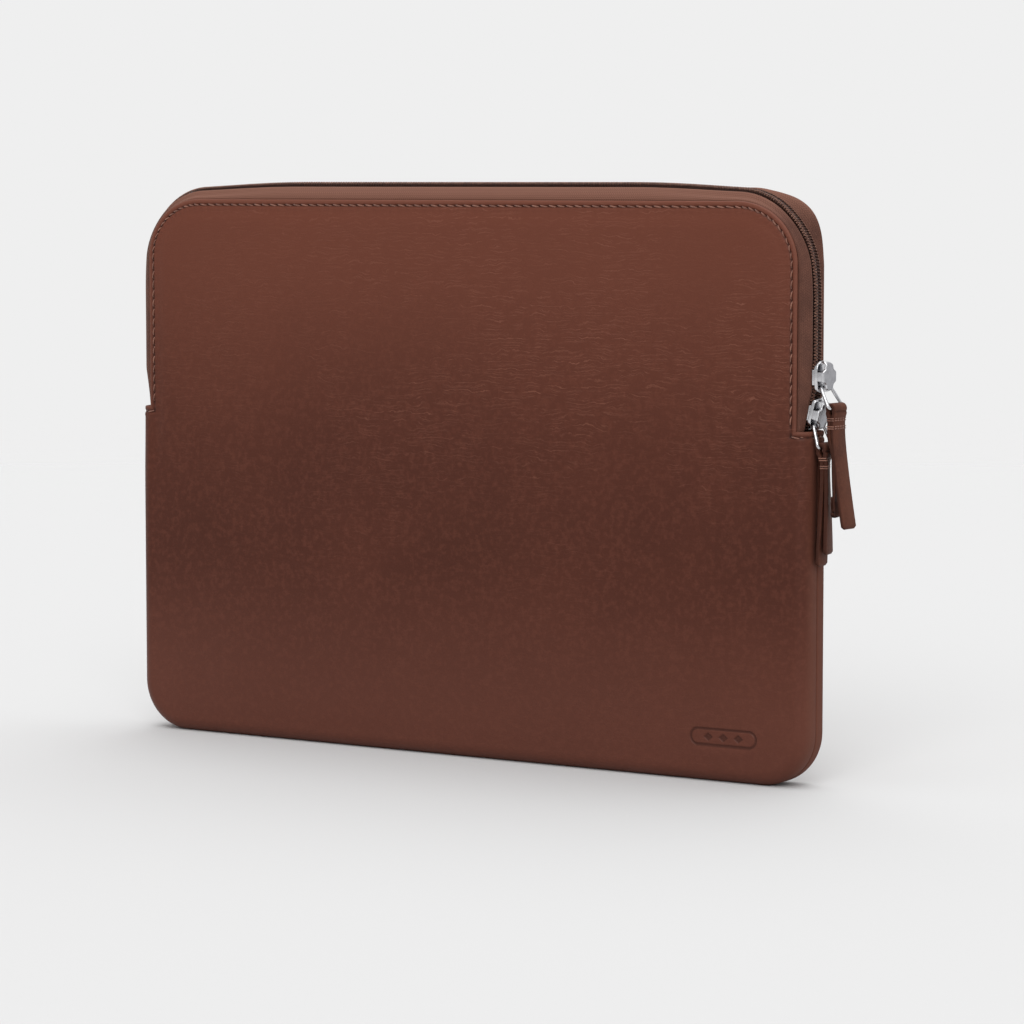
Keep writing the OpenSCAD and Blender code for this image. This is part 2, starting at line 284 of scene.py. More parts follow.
def tube(path, radius, sides, closed=False, up=(0, 1, 0)):
    """A round wire along a path of points, with domed ends where it isn't closed."""
    path = np.asarray(path, float)
    radii = np.broadcast_to(np.asarray(radius, float), (len(path),)).copy()
    if closed:
        tangent = np.roll(path, -1, 0) - np.roll(path, 1, 0)
    else:
        tangent = np.gradient(path, axis=0)
    tangent = unit(tangent)
    if not closed:
        first, last = path[0] - tangent[0] * radii[0] * 0.5, path[-1] + tangent[-1] * radii[-1] * 0.5
        path = np.vstack([first, path, last])
        tangent = np.vstack([tangent[0], tangent, tangent[-1]])
        radii = np.concatenate([[radii[0] * 0.55], radii, [radii[-1] * 0.55]])
    side = np.cross(tangent, np.asarray(up, float))
    side /= np.linalg.norm(side, axis=1)[:, None] + 1e-12
    other = np.cross(side, tangent)
    a = np.linspace(0, 2 * math.pi, sides, endpoint=False)
    ring = np.cos(a)[None, :, None] * side[:, None, :] + np.sin(a)[None, :, None] * other[:, None, :]
    verts = (path[:, None, :] + ring * radii[:, None, None]).reshape(-1, 3)
    faces = grid_faces(len(path), sides, closed_rows=closed, closed_cols=True)
    if not closed:
        faces.append(tuple(range(sides)))
        faces.append(tuple(range(len(verts) - sides, len(verts)))[::-1])
    return verts, faces


def join_parts(parts):
    """One point list and one face list from several."""
    verts, faces, start = [], [], 0
    for v, f in parts:
        verts.append(v)
        faces.extend([tuple(i + start for i in face) for face in f])
        start += len(v)
    return np.vstack(verts), faces


def solidify(obj, thickness, offset):
    modifier = obj.modifiers.new("thickness", "SOLIDIFY")
    modifier.thickness = thickness * MM
    modifier.offset = offset
    modifier.use_even_offset = False


def bevel(obj, width, segments):
    modifier = obj.modifiers.new("rounded_edges", "BEVEL")
    modifier.width = width * MM
    modifier.segments = segments
    modifier.limit_method = "ANGLE"
    modifier.angle_limit = math.radians(BEVEL_ANGLE)
    modifier.harden_normals = False


def apply_modifiers(obj):
    depsgraph = bpy.context.evaluated_depsgraph_get()
    mesh = bpy.data.meshes.new_from_object(obj.evaluated_get(depsgraph))
    old = obj.data
    obj.modifiers.clear()
    obj.data = mesh
    mesh.name = obj.name
    bpy.data.meshes.remove(old)


# ------------------------------------------------------------------ materials

def set_input(tree, socket, value):
    """Links another node's output to the socket, or gives it a plain value."""
    if isinstance(value, bpy.types.NodeSocket):
        tree.links.new(value, socket)
    else:
        socket.default_value = value


def add_node(tree, kind, inputs, **settings):
    """A shader node with its settings, and with its inputs linked or given values."""
    node = tree.nodes.new("ShaderNode" + kind)
    for name, value in settings.items():
        setattr(node, name, value)
    for key, value in inputs.items():
        set_input(tree, node.inputs[key], value)
    return node


class Nodes:
    """Short calls for building one material's node tree."""

    def __init__(self, name):
        self.material = bpy.data.materials.new(name)
        self.material.use_nodes = True
        self.tree = self.material.node_tree
        self.tree.nodes.clear()
        self.shader = self.node("BsdfPrincipled", {})
        self.node("OutputMaterial", {"Surface": self.shader.outputs[0]})
        self.rest = self.attribute("rest", "Vector")

    def node(self, kind, inputs, **settings):
        return add_node(self.tree, kind, inputs, **settings)

    def set(self, **values):
        names = {"color": "Base Color", "roughness": "Roughness", "metallic": "Metallic",
                 "normal": "Normal", "specular": "Specular IOR Level", "sheen": "Sheen Weight",
                 "sheen_roughness": "Sheen Roughness", "sheen_tint": "Sheen Tint"}
        for key, value in values.items():
            set_input(self.tree, self.shader.inputs[names[key]], value)

    def attribute(self, name, output="Fac"):
        return self.node("Attribute", {}, attribute_name=name).outputs[output]

    def scaled(self, *scale):
        """The rest place, stretched along its axes."""
        return self.node("Mapping", {"Vector": self.rest, "Scale": scale}).outputs[0]

    def noise(self, scale, detail, roughness, vector=None):
        inputs = {"Vector": vector or self.rest, "Scale": scale, "Detail": detail, "Roughness": roughness}
        return self.node("TexNoise", inputs).outputs["Fac"]

    def cells(self, scale, smoothness=None):
        inputs = {"Vector": self.rest, "Scale": scale}
        if smoothness is None:
            return self.node("TexVoronoi", inputs, feature="F1").outputs["Distance"]
        inputs["Smoothness"] = smoothness
        return self.node("TexVoronoi", inputs, feature="SMOOTH_F1").outputs["Distance"]

    def math(self, operation, a, b=0.0, clamp=False):
        return self.node("Math", {0: a, 1: b}, operation=operation, use_clamp=clamp).outputs[0]

    def add(self, a, b):
        return self.math("ADD", a, b)

    def times(self, a, b, clamp=False):
        return self.math("MULTIPLY", a, b, clamp)

    def span(self, value, lo, hi, to_lo=0.0, to_hi=1.0):
        inputs = {"Value": value, "From Min": lo, "From Max": hi, "To Min": to_lo, "To Max": to_hi}
        return self.node("MapRange", inputs, interpolation_type="SMOOTHSTEP").outputs["Result"]

    def blend(self, factor, a, b):
        return self.node("Mix", {"Factor": factor, 6: a, 7: b}, data_type="RGBA").outputs[2]

    def bump(self, height, distance, strength):
        inputs = {"Strength": strength, "Distance": distance * MM, "Height": height}
        return self.node("Bump", inputs).outputs[0]

    def separate(self, vector):
        return self.node("SeparateXYZ", {0: vector}).outputs


def rgb(r, g, b):
    """An 8-bit display colour as a linear one."""
    def linear(c):
        c /= 255
        return c / 12.92 if c <= 0.04045 else ((c + 0.055) / 1.055) ** 2.4
    return (linear(r), linear(g), linear(b), 1.0)


def leather_material():
    """Aniline leather: mottled brown, fine pebble, and faint wavy creases that run across the sleeve. Light
    and shade are painted into its colour as well: lighter at the top, paler at the bottom, a paler rim, a
    lighter edge bead and crease ridges, and dark stitch grooves.
    """
    n = Nodes("sleeve_leather")
    edge = n.attribute("edge_distance")
    groove = n.attribute("groove")
    height_m = n.separate(n.rest)[2]
    broad = n.noise(8.0, 2.0, 0.5)
    cloud = n.noise(26.0, 4.0, 0.6)
    fleck = n.noise(420.0, 3.0, 0.6)
    sway = n.times(n.noise(48.0, 3.0, 0.55, n.scaled(0.45, 1.0, 1.0)), 36.0)
    wiggle = n.times(n.noise(210.0, 3.0, 0.55, n.scaled(0.7, 1.0, 1.0)), 15.0)
    bend = n.add(sway, wiggle)
    wide = n.math("SINE", n.add(n.times(height_m, 3300.0), bend))
    fine = n.math("SINE", n.add(n.times(height_m, 5200.0), n.times(bend, 1.4)))
    where = n.span(n.noise(15.0, 3.0, 0.6), 0.40, 0.60, 0.20, 1.0)
    broken = n.span(n.noise(300.0, 3.0, 0.6, n.scaled(0.5, 1.0, 1.0)), 0.40, 0.60)
    high = n.span(height_m, 0.05, 0.18, 0.15, 1.0)
    right = n.span(n.separate(n.rest)[0], -0.12, 0.02, 0.45, 1.0)
    creases = n.add(n.span(wide, 0.78, 1.0), n.span(fine, 0.82, 1.0, 0.0, 0.8))
    for mask in (where, broken, high, right):
        creases = n.times(creases, mask)
    pebble = n.cells(1050.0, 0.6)
    tone = n.blend(n.span(broad, 0.35, 0.68), rgb(74, 36, 24), rgb(82, 41, 28))
    tone = n.blend(n.span(cloud, 0.30, 0.72, 0.0, 0.45), tone, rgb(70, 34, 23))
    tone = n.blend(n.span(fleck, 0.42, 0.72, 0.0, 0.38), tone, rgb(102, 56, 42))
    # Painted light: the leather is painted lighter towards the top of the sleeve, where it is lit more.
    tone = n.blend(n.span(height_m, 0.11, 0.235, 0.0, 0.9), tone, rgb(106, 58, 43))
    # Painted reflection: paler and greyer towards the bottom, standing in for the floor's light on the
    # face.
    tone = n.blend(n.span(height_m, 0.09, 0.015, 0.0, 0.55), tone, rgb(101, 58, 46))
    # Painted highlight: the crease ridges are painted lighter, on top of their bump.
    tone = n.blend(n.times(creases, 0.27, clamp=True), tone, rgb(142, 92, 75))
    # Painted light: the rolled rim round the sides and bottom gets a paler, greyer brown set for how it is
    # lit, and more roughness.
    rim = n.span(n.math("ABSOLUTE", n.separate(n.rest)[1]), 0.0088, 0.0040)
    tone = n.blend(n.times(rim, 0.60), tone, rgb(102, 62, 49))
    # Painted highlight: the bead along the turned edge, within a millimetre of it, is painted lighter.
    tone = n.blend(n.span(edge, 1.0, 0.1, 0.0, 0.35), tone, rgb(124, 80, 65))
    # Painted shade: the stitch groove, the stitch holes and the pressed mark are painted dark.
    tone = n.blend(n.times(groove, 0.80, clamp=True), tone, rgb(34, 17, 13))
    height = n.add(n.times(creases, 0.32), n.times(pebble, 0.45))
    height = n.add(height, n.times(fleck, 0.35))
    rough = n.add(n.span(cloud, 0.3, 0.7, 0.46, 0.56), n.times(rim, 0.28))
    n.set(color=tone, roughness=rough, specular=0.18, normal=n.bump(height, 0.12, 0.7))
    return n.material


def pull_leather_material():
    n = Nodes("pull_leather")
    cloud = n.noise(90.0, 4.0, 0.6)
    fine = n.noise(900.0, 3.0, 0.6)
    grain = n.cells(1500.0, 0.6)
    tone = n.blend(n.span(cloud, 0.3, 0.7), rgb(72, 40, 30), rgb(90, 53, 40))
    tone = n.blend(n.span(fine, 0.4, 0.75, 0.0, 0.35), tone, rgb(104, 65, 50))
    tone = n.blend(n.attribute("cut_edge"), tone, rgb(52, 28, 21))
    height = n.add(n.times(grain, 0.6), n.times(fine, 0.4))
    n.set(color=tone, roughness=n.span(cloud, 0.3, 0.7, 0.64, 0.76), specular=0.12,
          normal=n.bump(height, 0.10, 0.7))
    return n.material


def tape_material():
    """Woven zip tape: fine ribs across the tape, broken into a herringbone, with painted light making it
    lighter near the top of the sleeve.
    """
    n = Nodes("zip_tape_weave")
    along = n.attribute("tape_along")
    across = n.attribute("tape_across")
    rib = n.math("SINE", n.times(n.add(along, n.math("PINGPONG", across, 1.1)), 6.0))
    warp = n.math("SINE", n.times(across, 8.0))
    cloth = n.add(n.times(rib, 0.5), n.times(warp, 0.3))
    cloud = n.noise(120.0, 3.0, 0.6)
    fuzz = n.noise(1400.0, 3.0, 0.7)
    tone = n.blend(n.span(cloud, 0.3, 0.7), rgb(86, 53, 42), rgb(100, 63, 50))
    # Painted highlight: the tape is painted lighter towards the top, where light from above falls on it.
    tone = n.blend(n.span(n.separate(n.rest)[2], 0.226, 0.2400, 0.0, 0.9), tone, rgb(134, 91, 75))
    tone = n.blend(n.span(cloth, -0.5, 0.6, 0.50, 0.0), tone, rgb(62, 36, 28))
    tone = n.blend(n.span(fuzz, 0.5, 0.8, 0.0, 0.30), tone, rgb(140, 98, 80))
    height = n.add(n.times(cloth, 0.6), n.times(fuzz, 0.6))
    n.set(color=tone, roughness=0.74, specular=0.25, sheen=0.12, sheen_roughness=0.4,
          sheen_tint=rgb(190, 150, 130), normal=n.bump(height, 0.12, 0.8))
    return n.material


def coil_material():
    n = Nodes("nylon_coil")
    cloud = n.noise(500.0, 3.0, 0.6)
    tone = n.blend(n.span(cloud, 0.3, 0.7), rgb(50, 28, 21), rgb(72, 43, 33))
    n.set(color=tone, roughness=n.span(cloud, 0.3, 0.7, 0.38, 0.54), specular=0.38,
          normal=n.bump(cloud, 0.02, 0.5))
    return n.material


def coil_thread_material():
    """Pale sewing thread worn along the chain."""
    n = Nodes("chain_thread")
    cloud = n.noise(700.0, 2.0, 0.6)
    tone = n.blend(n.span(cloud, 0.35, 0.65), rgb(96, 62, 50), rgb(142, 103, 86))
    n.set(color=tone, roughness=0.6, specular=0.35, normal=n.bump(cloud, 0.04, 0.6))
    return n.material


def thread_material():
    n = Nodes("bonded_thread")
    ply = n.noise(1800.0, 2.0, 0.6)
    cloud = n.noise(260.0, 2.0, 0.5)
    tone = n.blend(n.span(cloud, 0.3, 0.7), rgb(104, 64, 50), rgb(138, 92, 74))
    tone = n.blend(n.span(ply, 0.45, 0.7, 0.0, 0.4), tone, rgb(166, 120, 98))
    n.set(color=tone, roughness=0.55, specular=0.4, sheen=0.2, sheen_roughness=0.5,
          normal=n.bump(ply, 0.06, 0.7))
    return n.material


def metal_material(name, dark, bright, roughness):
    """Polished nickel plate with a faint brushed haze. Parts marked by the attribute are painted brighter,
    towards white: a painted highlight on rims and edges.
    """
    n = Nodes(name)
    haze = n.noise(300.0, 4.0, 0.6)
    scratch = n.noise(2600.0, 3.0, 0.6, n.scaled(1.0, 1.0, 0.12))
    tone = n.blend(n.span(haze, 0.3, 0.7), dark, bright)
    # Painted highlight: where the attribute is set, the colour goes towards near-white.
    tone = n.blend(n.attribute("rim_highlight"), tone, rgb(236, 236, 238))
    n.set(color=tone, metallic=1.0, roughness=n.span(haze, 0.3, 0.7, roughness, roughness + 0.1),
          normal=n.bump(scratch, 0.006, 0.6))
    return n.material


def steel_material():
    n = Nodes("spring_steel")
    brushed = n.noise(2400.0, 3.0, 0.6, n.scaled(1.0, 1.0, 0.1))
    tone = n.blend(n.span(brushed, 0.3, 0.7), rgb(132, 132, 136), rgb(158, 158, 162))
    n.set(color=tone, metallic=1.0, roughness=0.36, normal=n.bump(brushed, 0.01, 0.6))
    return n.material


def lining_material():
    """Brushed microfibre: soft nap with slow changes of tone."""
    n = Nodes("microfibre_lining")
    cloud = n.noise(22.0, 4.0, 0.6)
    nap = n.noise(1300.0, 4.0, 0.7)
    tone = n.blend(n.span(cloud, 0.3, 0.7), rgb(122, 96, 80), rgb(146, 118, 100))
    tone = n.blend(n.span(nap, 0.4, 0.75, 0.0, 0.4), tone, rgb(176, 150, 130))
    n.set(color=tone, roughness=0.9, specular=0.15, sheen=0.6, sheen_roughness=0.4,
          sheen_tint=rgb(226, 208, 192), normal=n.bump(nap, 0.16, 0.7))
    return n.material


def foam_material():
    n = Nodes("closed_cell_foam")
    cell = n.cells(1500.0)
    cloud = n.noise(60.0, 3.0, 0.5)
    tone = n.blend(n.span(cloud, 0.3, 0.7), rgb(58, 58, 61), rgb(76, 76, 80))
    tone = n.blend(n.span(cell, 0.0, 0.5, 0.5, 0.0), tone, rgb(36, 36, 38))
    n.set(color=tone, roughness=0.92, specular=0.15, normal=n.bump(cell, 0.15, 0.6))
    return n.material


LEATHER = leather_material()
PULL_LEATHER = pull_leather_material()
TAPE = tape_material()
COIL = coil_material()
THREAD = thread_material()
COIL_THREAD = coil_thread_material()
METAL = metal_material("polished_nickel", rgb(196, 196, 199), rgb(218, 218, 220), 0.14)
# Painted shade: the cap's nickel is a darker copy of the polished one, darkened to stand in for the dim
# look of the cap's top.
CAP_METAL_SHADED = metal_material("satin_nickel_shaded", rgb(146, 146, 150), rgb(166, 166, 170), 0.26)
STEEL = steel_material()
LINING = lining_material()
FOAM = foam_material()


# ------------------------------------------------------------------ leather shells

RIM_R = 6.0
RIM_FLAT = HALF_T - RIM_R                     # half of the flat in the middle of the rim
EDGE_Y = 9.2                                  # depth of the turned edge beside the zip
NOTCH_SQUEEZE = EDGE_Y / (RIM_FLAT + RIM_R)   # how much thinner the rim is where the zip ends
EDGE_ROWS = np.array([0, 0.3, 0.6, 0.9, 1.15, 1.35, 1.55, 1.7, 1.85, 2.05, 2.3, 2.65, 3.1, 3.8,
                      4.8, 6.2, 8.2])         # distances of the mesh's rows from the turned edge
STITCH_IN = 1.7                               # stitch line's distance from the turned edge
EDGE_SIDE = float(edge_inset(np.array([1.0, 0.0])))
CROWN = 0.9                                   # how far the padding lifts the middle of a face
FACE_LIFT = 0.15                              # how far a face stands over the CAD's plane
FAR_FROM_EDGE = 60.0                          # edge distance given to the middle of a face
LEATHER_T = 0.7
HEM_R = 0.72                                  # radius of the bead along the turned edge


def rim_rows():
    """Inset and depth of the rows that lie only round the lower rim, from the seam outwards."""
    rows = [(1.5, 0.04), (0.7, 0.09), (0.28, 0.24), (0.08, 0.55), (0.0, 1.1), (0.0, RIM_FLAT - 0.8)]
    last = math.acos((RIM_R - EDGE_SIDE) / RIM_R)
    for angle in np.linspace(0.12, last, 10)[:-1]:
        rows.append((RIM_R - RIM_R * math.cos(angle), RIM_FLAT + RIM_R * math.sin(angle)))
    return np.array(rows)


def crown(x, z):
    """How far the padded face stands proud of its edges."""
    bx = smooth(6, 60, HALF_W - np.abs(x))
    bz = smooth(6, 55, z) * smooth(8, 60, HEIGHT - z)
    return CROWN * bx * bz


def slack(x, z, seed):
    """Slow waves in the leather, a few centimetres long."""
    g = np.random.default_rng(seed)
    total = np.zeros_like(np.asarray(x, float))
    for _ in range(14):
        wave = g.uniform(45, 150)
        turn = g.uniform(0, math.pi)
        shift = g.uniform(0, 2 * math.pi)
        total += np.sin((x * math.cos(turn) + z * math.sin(turn)) * 2 * math.pi / wave + shift) * wave / 150
    fade = smooth(8, 30, HALF_W - np.abs(x)) * smooth(8, 30, z) * smooth(12, 34, HEIGHT - z)
    return 0.055 * total * fade


def face_depth(inset, z, near_edge):
    """Depth of the face outside the crown. near_edge is the distance from the zip's turned edge."""
    upper = EDGE_Y + (HALF_T + FACE_LIFT - EDGE_Y) * smooth(2.2, 9.5, near_edge)
    arc = RIM_FLAT + np.sqrt(np.clip(RIM_R ** 2 - (RIM_R - np.minimum(inset, RIM_R)) ** 2, 0, None))
    lower = arc + FACE_LIFT * smooth(RIM_R, RIM_R + 8, inset)
    return mix(upper, lower, smooth(2, 34, ZIP_END - z))


MARK_X, MARK_Z = 131.0, 18.7                  # middle of the small pressed mark
MARK_W, MARK_H = 31.0, 7.4
MARK_PRESS = 0.38                             # how deep it is pressed


def mark_depth(x, z):
    """A plain pressed mark: a rounded frame with a row of three diamonds."""
    u, v = np.abs(x - MARK_X), np.abs(z - MARK_Z)
    r = MARK_H / 2
    frame_d = np.abs(np.hypot(np.clip(u - (MARK_W / 2 - r), 0, None), v) - (r - 0.4))
    pressed = 1 - smooth(0.28, 0.72, frame_d)
    for middle in (-7.0, 0.0, 7.0):
        diamond = np.abs(x - MARK_X - middle) * 0.8 + v - 1.75
        pressed = np.maximum(pressed, 1 - smooth(-0.3, 0.25, diamond))
    return pressed


def column_positions():
    """Arc lengths of the lower columns and of the upper ones; the two notch columns are shared."""
    near = np.array([0, 0.3, 0.6, 0.9, 1.15, 1.4, 1.55, 1.7, 1.85, 2.1, 2.5, 3.2, 4.2, 5.6, 7.4, 9.8, 12.5])
    low_end = NOTCH_S
    far = np.linspace(0, low_end - near[-1] - 2, 150)
    half = np.concatenate([far, low_end - near[::-1]])
    lower = np.concatenate([-half[:0:-1], half])
    count = int(round(2 * (HALF_LOOP - NOTCH_S) / (STITCH_PITCH / 6)))
    upper = np.linspace(NOTCH_S, 2 * HALF_LOOP - NOTCH_S, count + 1)
    return lower, upper


def vertex_normals(verts, faces):
    normals = np.zeros_like(verts)
    for f in faces:
        p = verts[list(f)]
        n = np.cross(p[2] - p[0], p[-1] - p[1]) if len(f) == 4 else np.cross(p[1] - p[0], p[2] - p[0])
        normals[list(f)] += n
    return normals / (np.linalg.norm(normals, axis=1)[:, None] + 1e-12)


def leather_shell(name, side, seed):
    """One half of the leather: face, rolled lower rim, turned edge and notches. side is -1 in front."""
    lower, upper = column_positions()
    rim = rim_rows()
    n_rim, n_edge = len(rim), len(EDGE_ROWS)
    points, near, phase, grid = [], [], [], {}

    def add(col, row, s, inset, depth, dist, run):
        p, n = outline(s)
        x, z = p - n * inset
        grid[col, row] = len(points)
        depth = depth + crown(x, z) * smooth(5, 12, inset) + slack(x, z, seed)
        points.append((x, side * depth, z))
        near.append(dist)
        phase.append(run)

    for i, s in enumerate(lower):
        col = ("lower", i)
        z_here = outline(s)[0][1]
        below = NOTCH_S - abs(s)
        squeeze = mix(NOTCH_SQUEEZE, 1.0, smooth(2, 34, ZIP_END - z_here)) if below < 40 else 1.0
        for j, (inset, depth) in enumerate(rim):
            add(col, j, s, inset, depth * squeeze, below, inset + depth)
        for j, e in enumerate(EDGE_ROWS):
            inset = EDGE_SIDE + e
            z_row = z_here if below < 110 else -100.0
            add(col, n_rim + j, s, inset, face_depth(inset, z_row, e), max(below, e), -abs(s))
    for i, s in enumerate(upper):
        col = ("upper", i)
        if i in (0, len(upper) - 1):
            twin = ("lower", len(lower) - 1 if i == 0 else 0)
            for j in range(n_rim, n_rim + n_edge):
                grid[col, j] = grid[twin, j]
            continue
        p, n = outline(s)
        for j, e in enumerate(EDGE_ROWS):
            inset = float(edge_inset(n)) + e
            add(col, n_rim + j, s, inset, face_depth(inset, max(p[1], ZIP_END), e), e, s)

    faces = []
    for part, count, first_row in (("lower", len(lower), 0), ("upper", len(upper), n_rim)):
        for i in range(count - 1):
            here, following = (part, i), (part, i + 1)
            faces += [(grid[here, j], grid[following, j], grid[following, j + 1], grid[here, j + 1])
                      for j in range(first_row, n_rim + n_edge - 1)]

    last = n_rim + n_edge - 1
    ring = [grid[("lower", i), last] for i in range(len(lower))]
    ring += [grid[("upper", i), last] for i in range(1, len(upper) - 1)]
    add_face_interior(points, near, phase, faces, ring, side, seed)
    verts = np.array(points)
    near, phase = np.array(near), np.array(phase)

    normals = vertex_normals(verts, faces)
    if np.mean(normals[:, 1] * side) < 0:
        normals = -normals
    wave = 0.5 + 0.5 * np.cos(phase * 2 * math.pi / STITCH_PITCH)
    line = np.exp(-((near - STITCH_IN) / 0.50) ** 2)
    swell = np.exp(-((near - STITCH_IN - 1.5) / 0.9) ** 2) * 0.30 * (1 - wave)
    verts += normals * (-(0.24 + 0.36 * wave) * line + swell)[:, None]

    end, before_end = ("lower", len(lower) - 1), ("lower", len(lower) - 2)
    boundary = [(grid[end, j], grid[before_end, j], None) for j in range(n_rim)]
    boundary.append((grid[end, n_rim], grid[before_end, n_rim], grid[end, n_rim + 1]))
    boundary += [(grid[("upper", i), n_rim], grid[("upper", i), n_rim + 1], None)
                 for i in range(1, len(upper) - 1)]
    boundary.append((grid[("lower", 0), n_rim], grid[("lower", 1), n_rim], grid[("lower", 0), n_rim + 1]))
    boundary += [(grid[("lower", 0), j], grid[("lower", 1), j], None) for j in range(n_rim - 1, -1, -1)]
    hem_verts, hem_faces = turned_edge(verts, normals, boundary)
    extra = len(hem_verts)
    verts = np.vstack([verts, hem_verts])
    faces += hem_faces
    near = np.concatenate([near, np.zeros(extra)])
    # Painted shade: the stitch groove is painted darkest at the holes, and the pressed mark on the front is
    # painted dark too.
    line = np.concatenate([line * (0.25 + 0.75 * wave), np.zeros(extra)])
    pressed = mark_depth(verts[:, 0], verts[:, 2]) if side < 0 else np.zeros(len(verts))
    line = np.maximum(line, 0.55 * pressed * (verts[:, 1] < 0))

    obj = make_piece(name, verts, faces, LEATHER)
    # The edge distance also places the painted highlight on the edge bead.
    store_values(obj, "edge_distance", near)
    # Painted shade for the stitch groove, its holes and the pressed mark.
    store_values(obj, "groove", line)
    solidify(obj, LEATHER_T, -1.0)
    apply_modifiers(obj)
    return obj


def turned_edge(verts, normals, boundary):
    """The leather folded over along its free edge: a small bead and a hem under it."""
    base = len(verts)
    outward = []
    for here, inner, inner2 in boundary:
        d = verts[here] - verts[inner]
        d = d / np.linalg.norm(d)
        if inner2 is not None:
            e = verts[here] - verts[inner2]
            d = d + e / np.linalg.norm(e)
        outward.append(d)
    outward = np.array(outward)
    ids = [b[0] for b in boundary]
    here, n = verts[ids], normals[ids]
    rows = []
    for angle in np.radians([32, 64, 96, 128, 160, 180]):
        rows.append(here + outward * HEM_R * math.sin(angle) - n * HEM_R * (1 - math.cos(angle)))
    rows.append(here - outward * 2.5 - n * (2 * HEM_R + 0.1))
    count = len(ids)
    faces = []
    previous = ids
    for k in range(len(rows)):
        current = [base + k * count + i for i in range(count)]
        for i in range(count - 1):
            faces.append((previous[i], previous[i + 1], current[i + 1], current[i]))
        previous = current
    return np.vstack(rows), faces


def add_face_interior(points, near, phase, faces, ring, side, seed):
    """Fills the face inside the last row with a fine mesh, finer still at the pressed mark."""
    span_x = HALF_W - EDGE_SIDE - EDGE_ROWS[-1]
    step = 2.6
    xs = np.arange(-span_x, span_x, step)
    zs = np.arange(10, HEIGHT - 12, step)
    gx, gz = np.meshgrid(xs, zs)
    gx = gx + (np.arange(len(zs)) % 2)[:, None] * step / 2
    inside = np.stack([gx.ravel(), gz.ravel()], -1)
    if side < 0:
        fine = 0.27
        mx = np.arange(MARK_X - MARK_W / 2 - 1.2, MARK_X + MARK_W / 2 + 1.2, fine)
        mz = np.arange(MARK_Z - MARK_H / 2 - 1.0, MARK_Z + MARK_H / 2 + 1.0, fine)
        fx, fz = np.meshgrid(mx, mz)
        keep = ((np.abs(inside[:, 0] - MARK_X) > MARK_W / 2 + 1.8)
                | (np.abs(inside[:, 1] - MARK_Z) > MARK_H / 2 + 1.6))
        inside = np.vstack([inside[keep], np.stack([fx.ravel(), fz.ravel()], -1)])
    corner = EDGE_ROWS[-1] + EDGE_SIDE
    far_top = past_corner(inside, TOP_R, True) < TOP_R - corner - 3.4
    far_low = past_corner(inside, BOTTOM_R, False) < BOTTOM_R - corner - 0.45

    def depth_at(x, z):
        depth = HALF_T + FACE_LIFT + crown(x, z) + slack(x, z, seed)
        if side < 0:
            depth -= MARK_PRESS * mark_depth(x, z)
        return side * float(depth)

    for face in fill_loop(ring, inside[far_top & far_low], points, depth_at):
        faces.append(tuple(face if side < 0 else face[::-1]))
    near += [FAR_FROM_EDGE] * (len(points) - len(near))
    phase += [0.0] * (len(points) - len(phase))


on_front(leather_shell("front_leather", -1, 3), "leather", "front_panel", "flap_panel")
on_body(leather_shell("back_leather", 1, 11), "sleeve", "leather", "back_panel")


# ------------------------------------------------------------------ topstitching

def stitch_path(side, seed):
    """Points and outward directions along the stitch line, over the top from notch to notch."""
    drop = ZIP_END - STITCH_IN
    s = np.arange(NOTCH_S - STITCH_IN + 0.4, 2 * HALF_LOOP - NOTCH_S + STITCH_IN, 0.2)
    p, n = outline(s)
    inset = edge_inset_along(n) + STITCH_IN
    q = p - n * inset[:, None]
    depth = face_depth(inset, np.maximum(p[:, 1], drop), np.full(len(s), STITCH_IN))
    depth = depth + crown(q[:, 0], q[:, 1]) * smooth(5, 12, inset) + slack(q[:, 0], q[:, 1], seed)
    return s, np.stack([q[:, 0], side * depth, q[:, 1]], -1)


STITCH_R, PULL_STITCH_R = 0.31, 0.24


def one_stitch(a, b, out, lift, radius):
    """A thread from a to b that rises along out and dives at both ends."""
    t = np.linspace(0, 1, 7)
    path = a + (b - a) * t[:, None] + out * ((np.sin(t * math.pi) ** 0.6) * lift - 0.45)[:, None]
    thick = radius * (0.72 + 0.28 * np.sin(t * math.pi))
    return tube(path, thick, 6, up=out + np.array([0.013, 0.0, 0.021]))


def stitching(name, side, seed):
    """Slanted stitches along the turned edge, and short runs below the two notches."""
    s, path = stitch_path(side, seed)
    out = np.array([0.0, side, 0.0])
    parts = []
    first = math.ceil((s[0] + 0.3) / STITCH_PITCH)
    last = math.floor((s[-1] - 0.3) / STITCH_PITCH)
    for k in range(first, last):
        ends = [np.array([np.interp((k + shift) * STITCH_PITCH, s, path[:, c]) for c in range(3)])
                for shift in (0.12, 0.88)]
        along = ends[1] - ends[0]
        across = np.cross(along, out)
        across /= np.linalg.norm(across)
        slant = 0.30 + 0.05 * math.sin(k * 2.4)
        parts.append(one_stitch(ends[0] - across * slant, ends[1] + across * slant, out, 0.55, STITCH_R))
    z = ZIP_END - STITCH_IN
    for hand in (-1, 1):
        for k in range(3):
            first_inset = EDGE_SIDE + STITCH_IN - 0.5 - k * STITCH_PITCH
            ends = [rim_point(hand, side, max(v, -3.4), z + rise)
                    for v, rise in ((first_inset, 0.3), (first_inset - 3.2, -0.3))]
            normal = ends[0][1] + ends[1][1]
            normal /= np.linalg.norm(normal)
            parts.append(one_stitch(ends[0][0], ends[1][0], normal, 0.45, STITCH_R))
    verts, faces = join_parts(parts)
    return make_piece(name, verts, faces, THREAD)


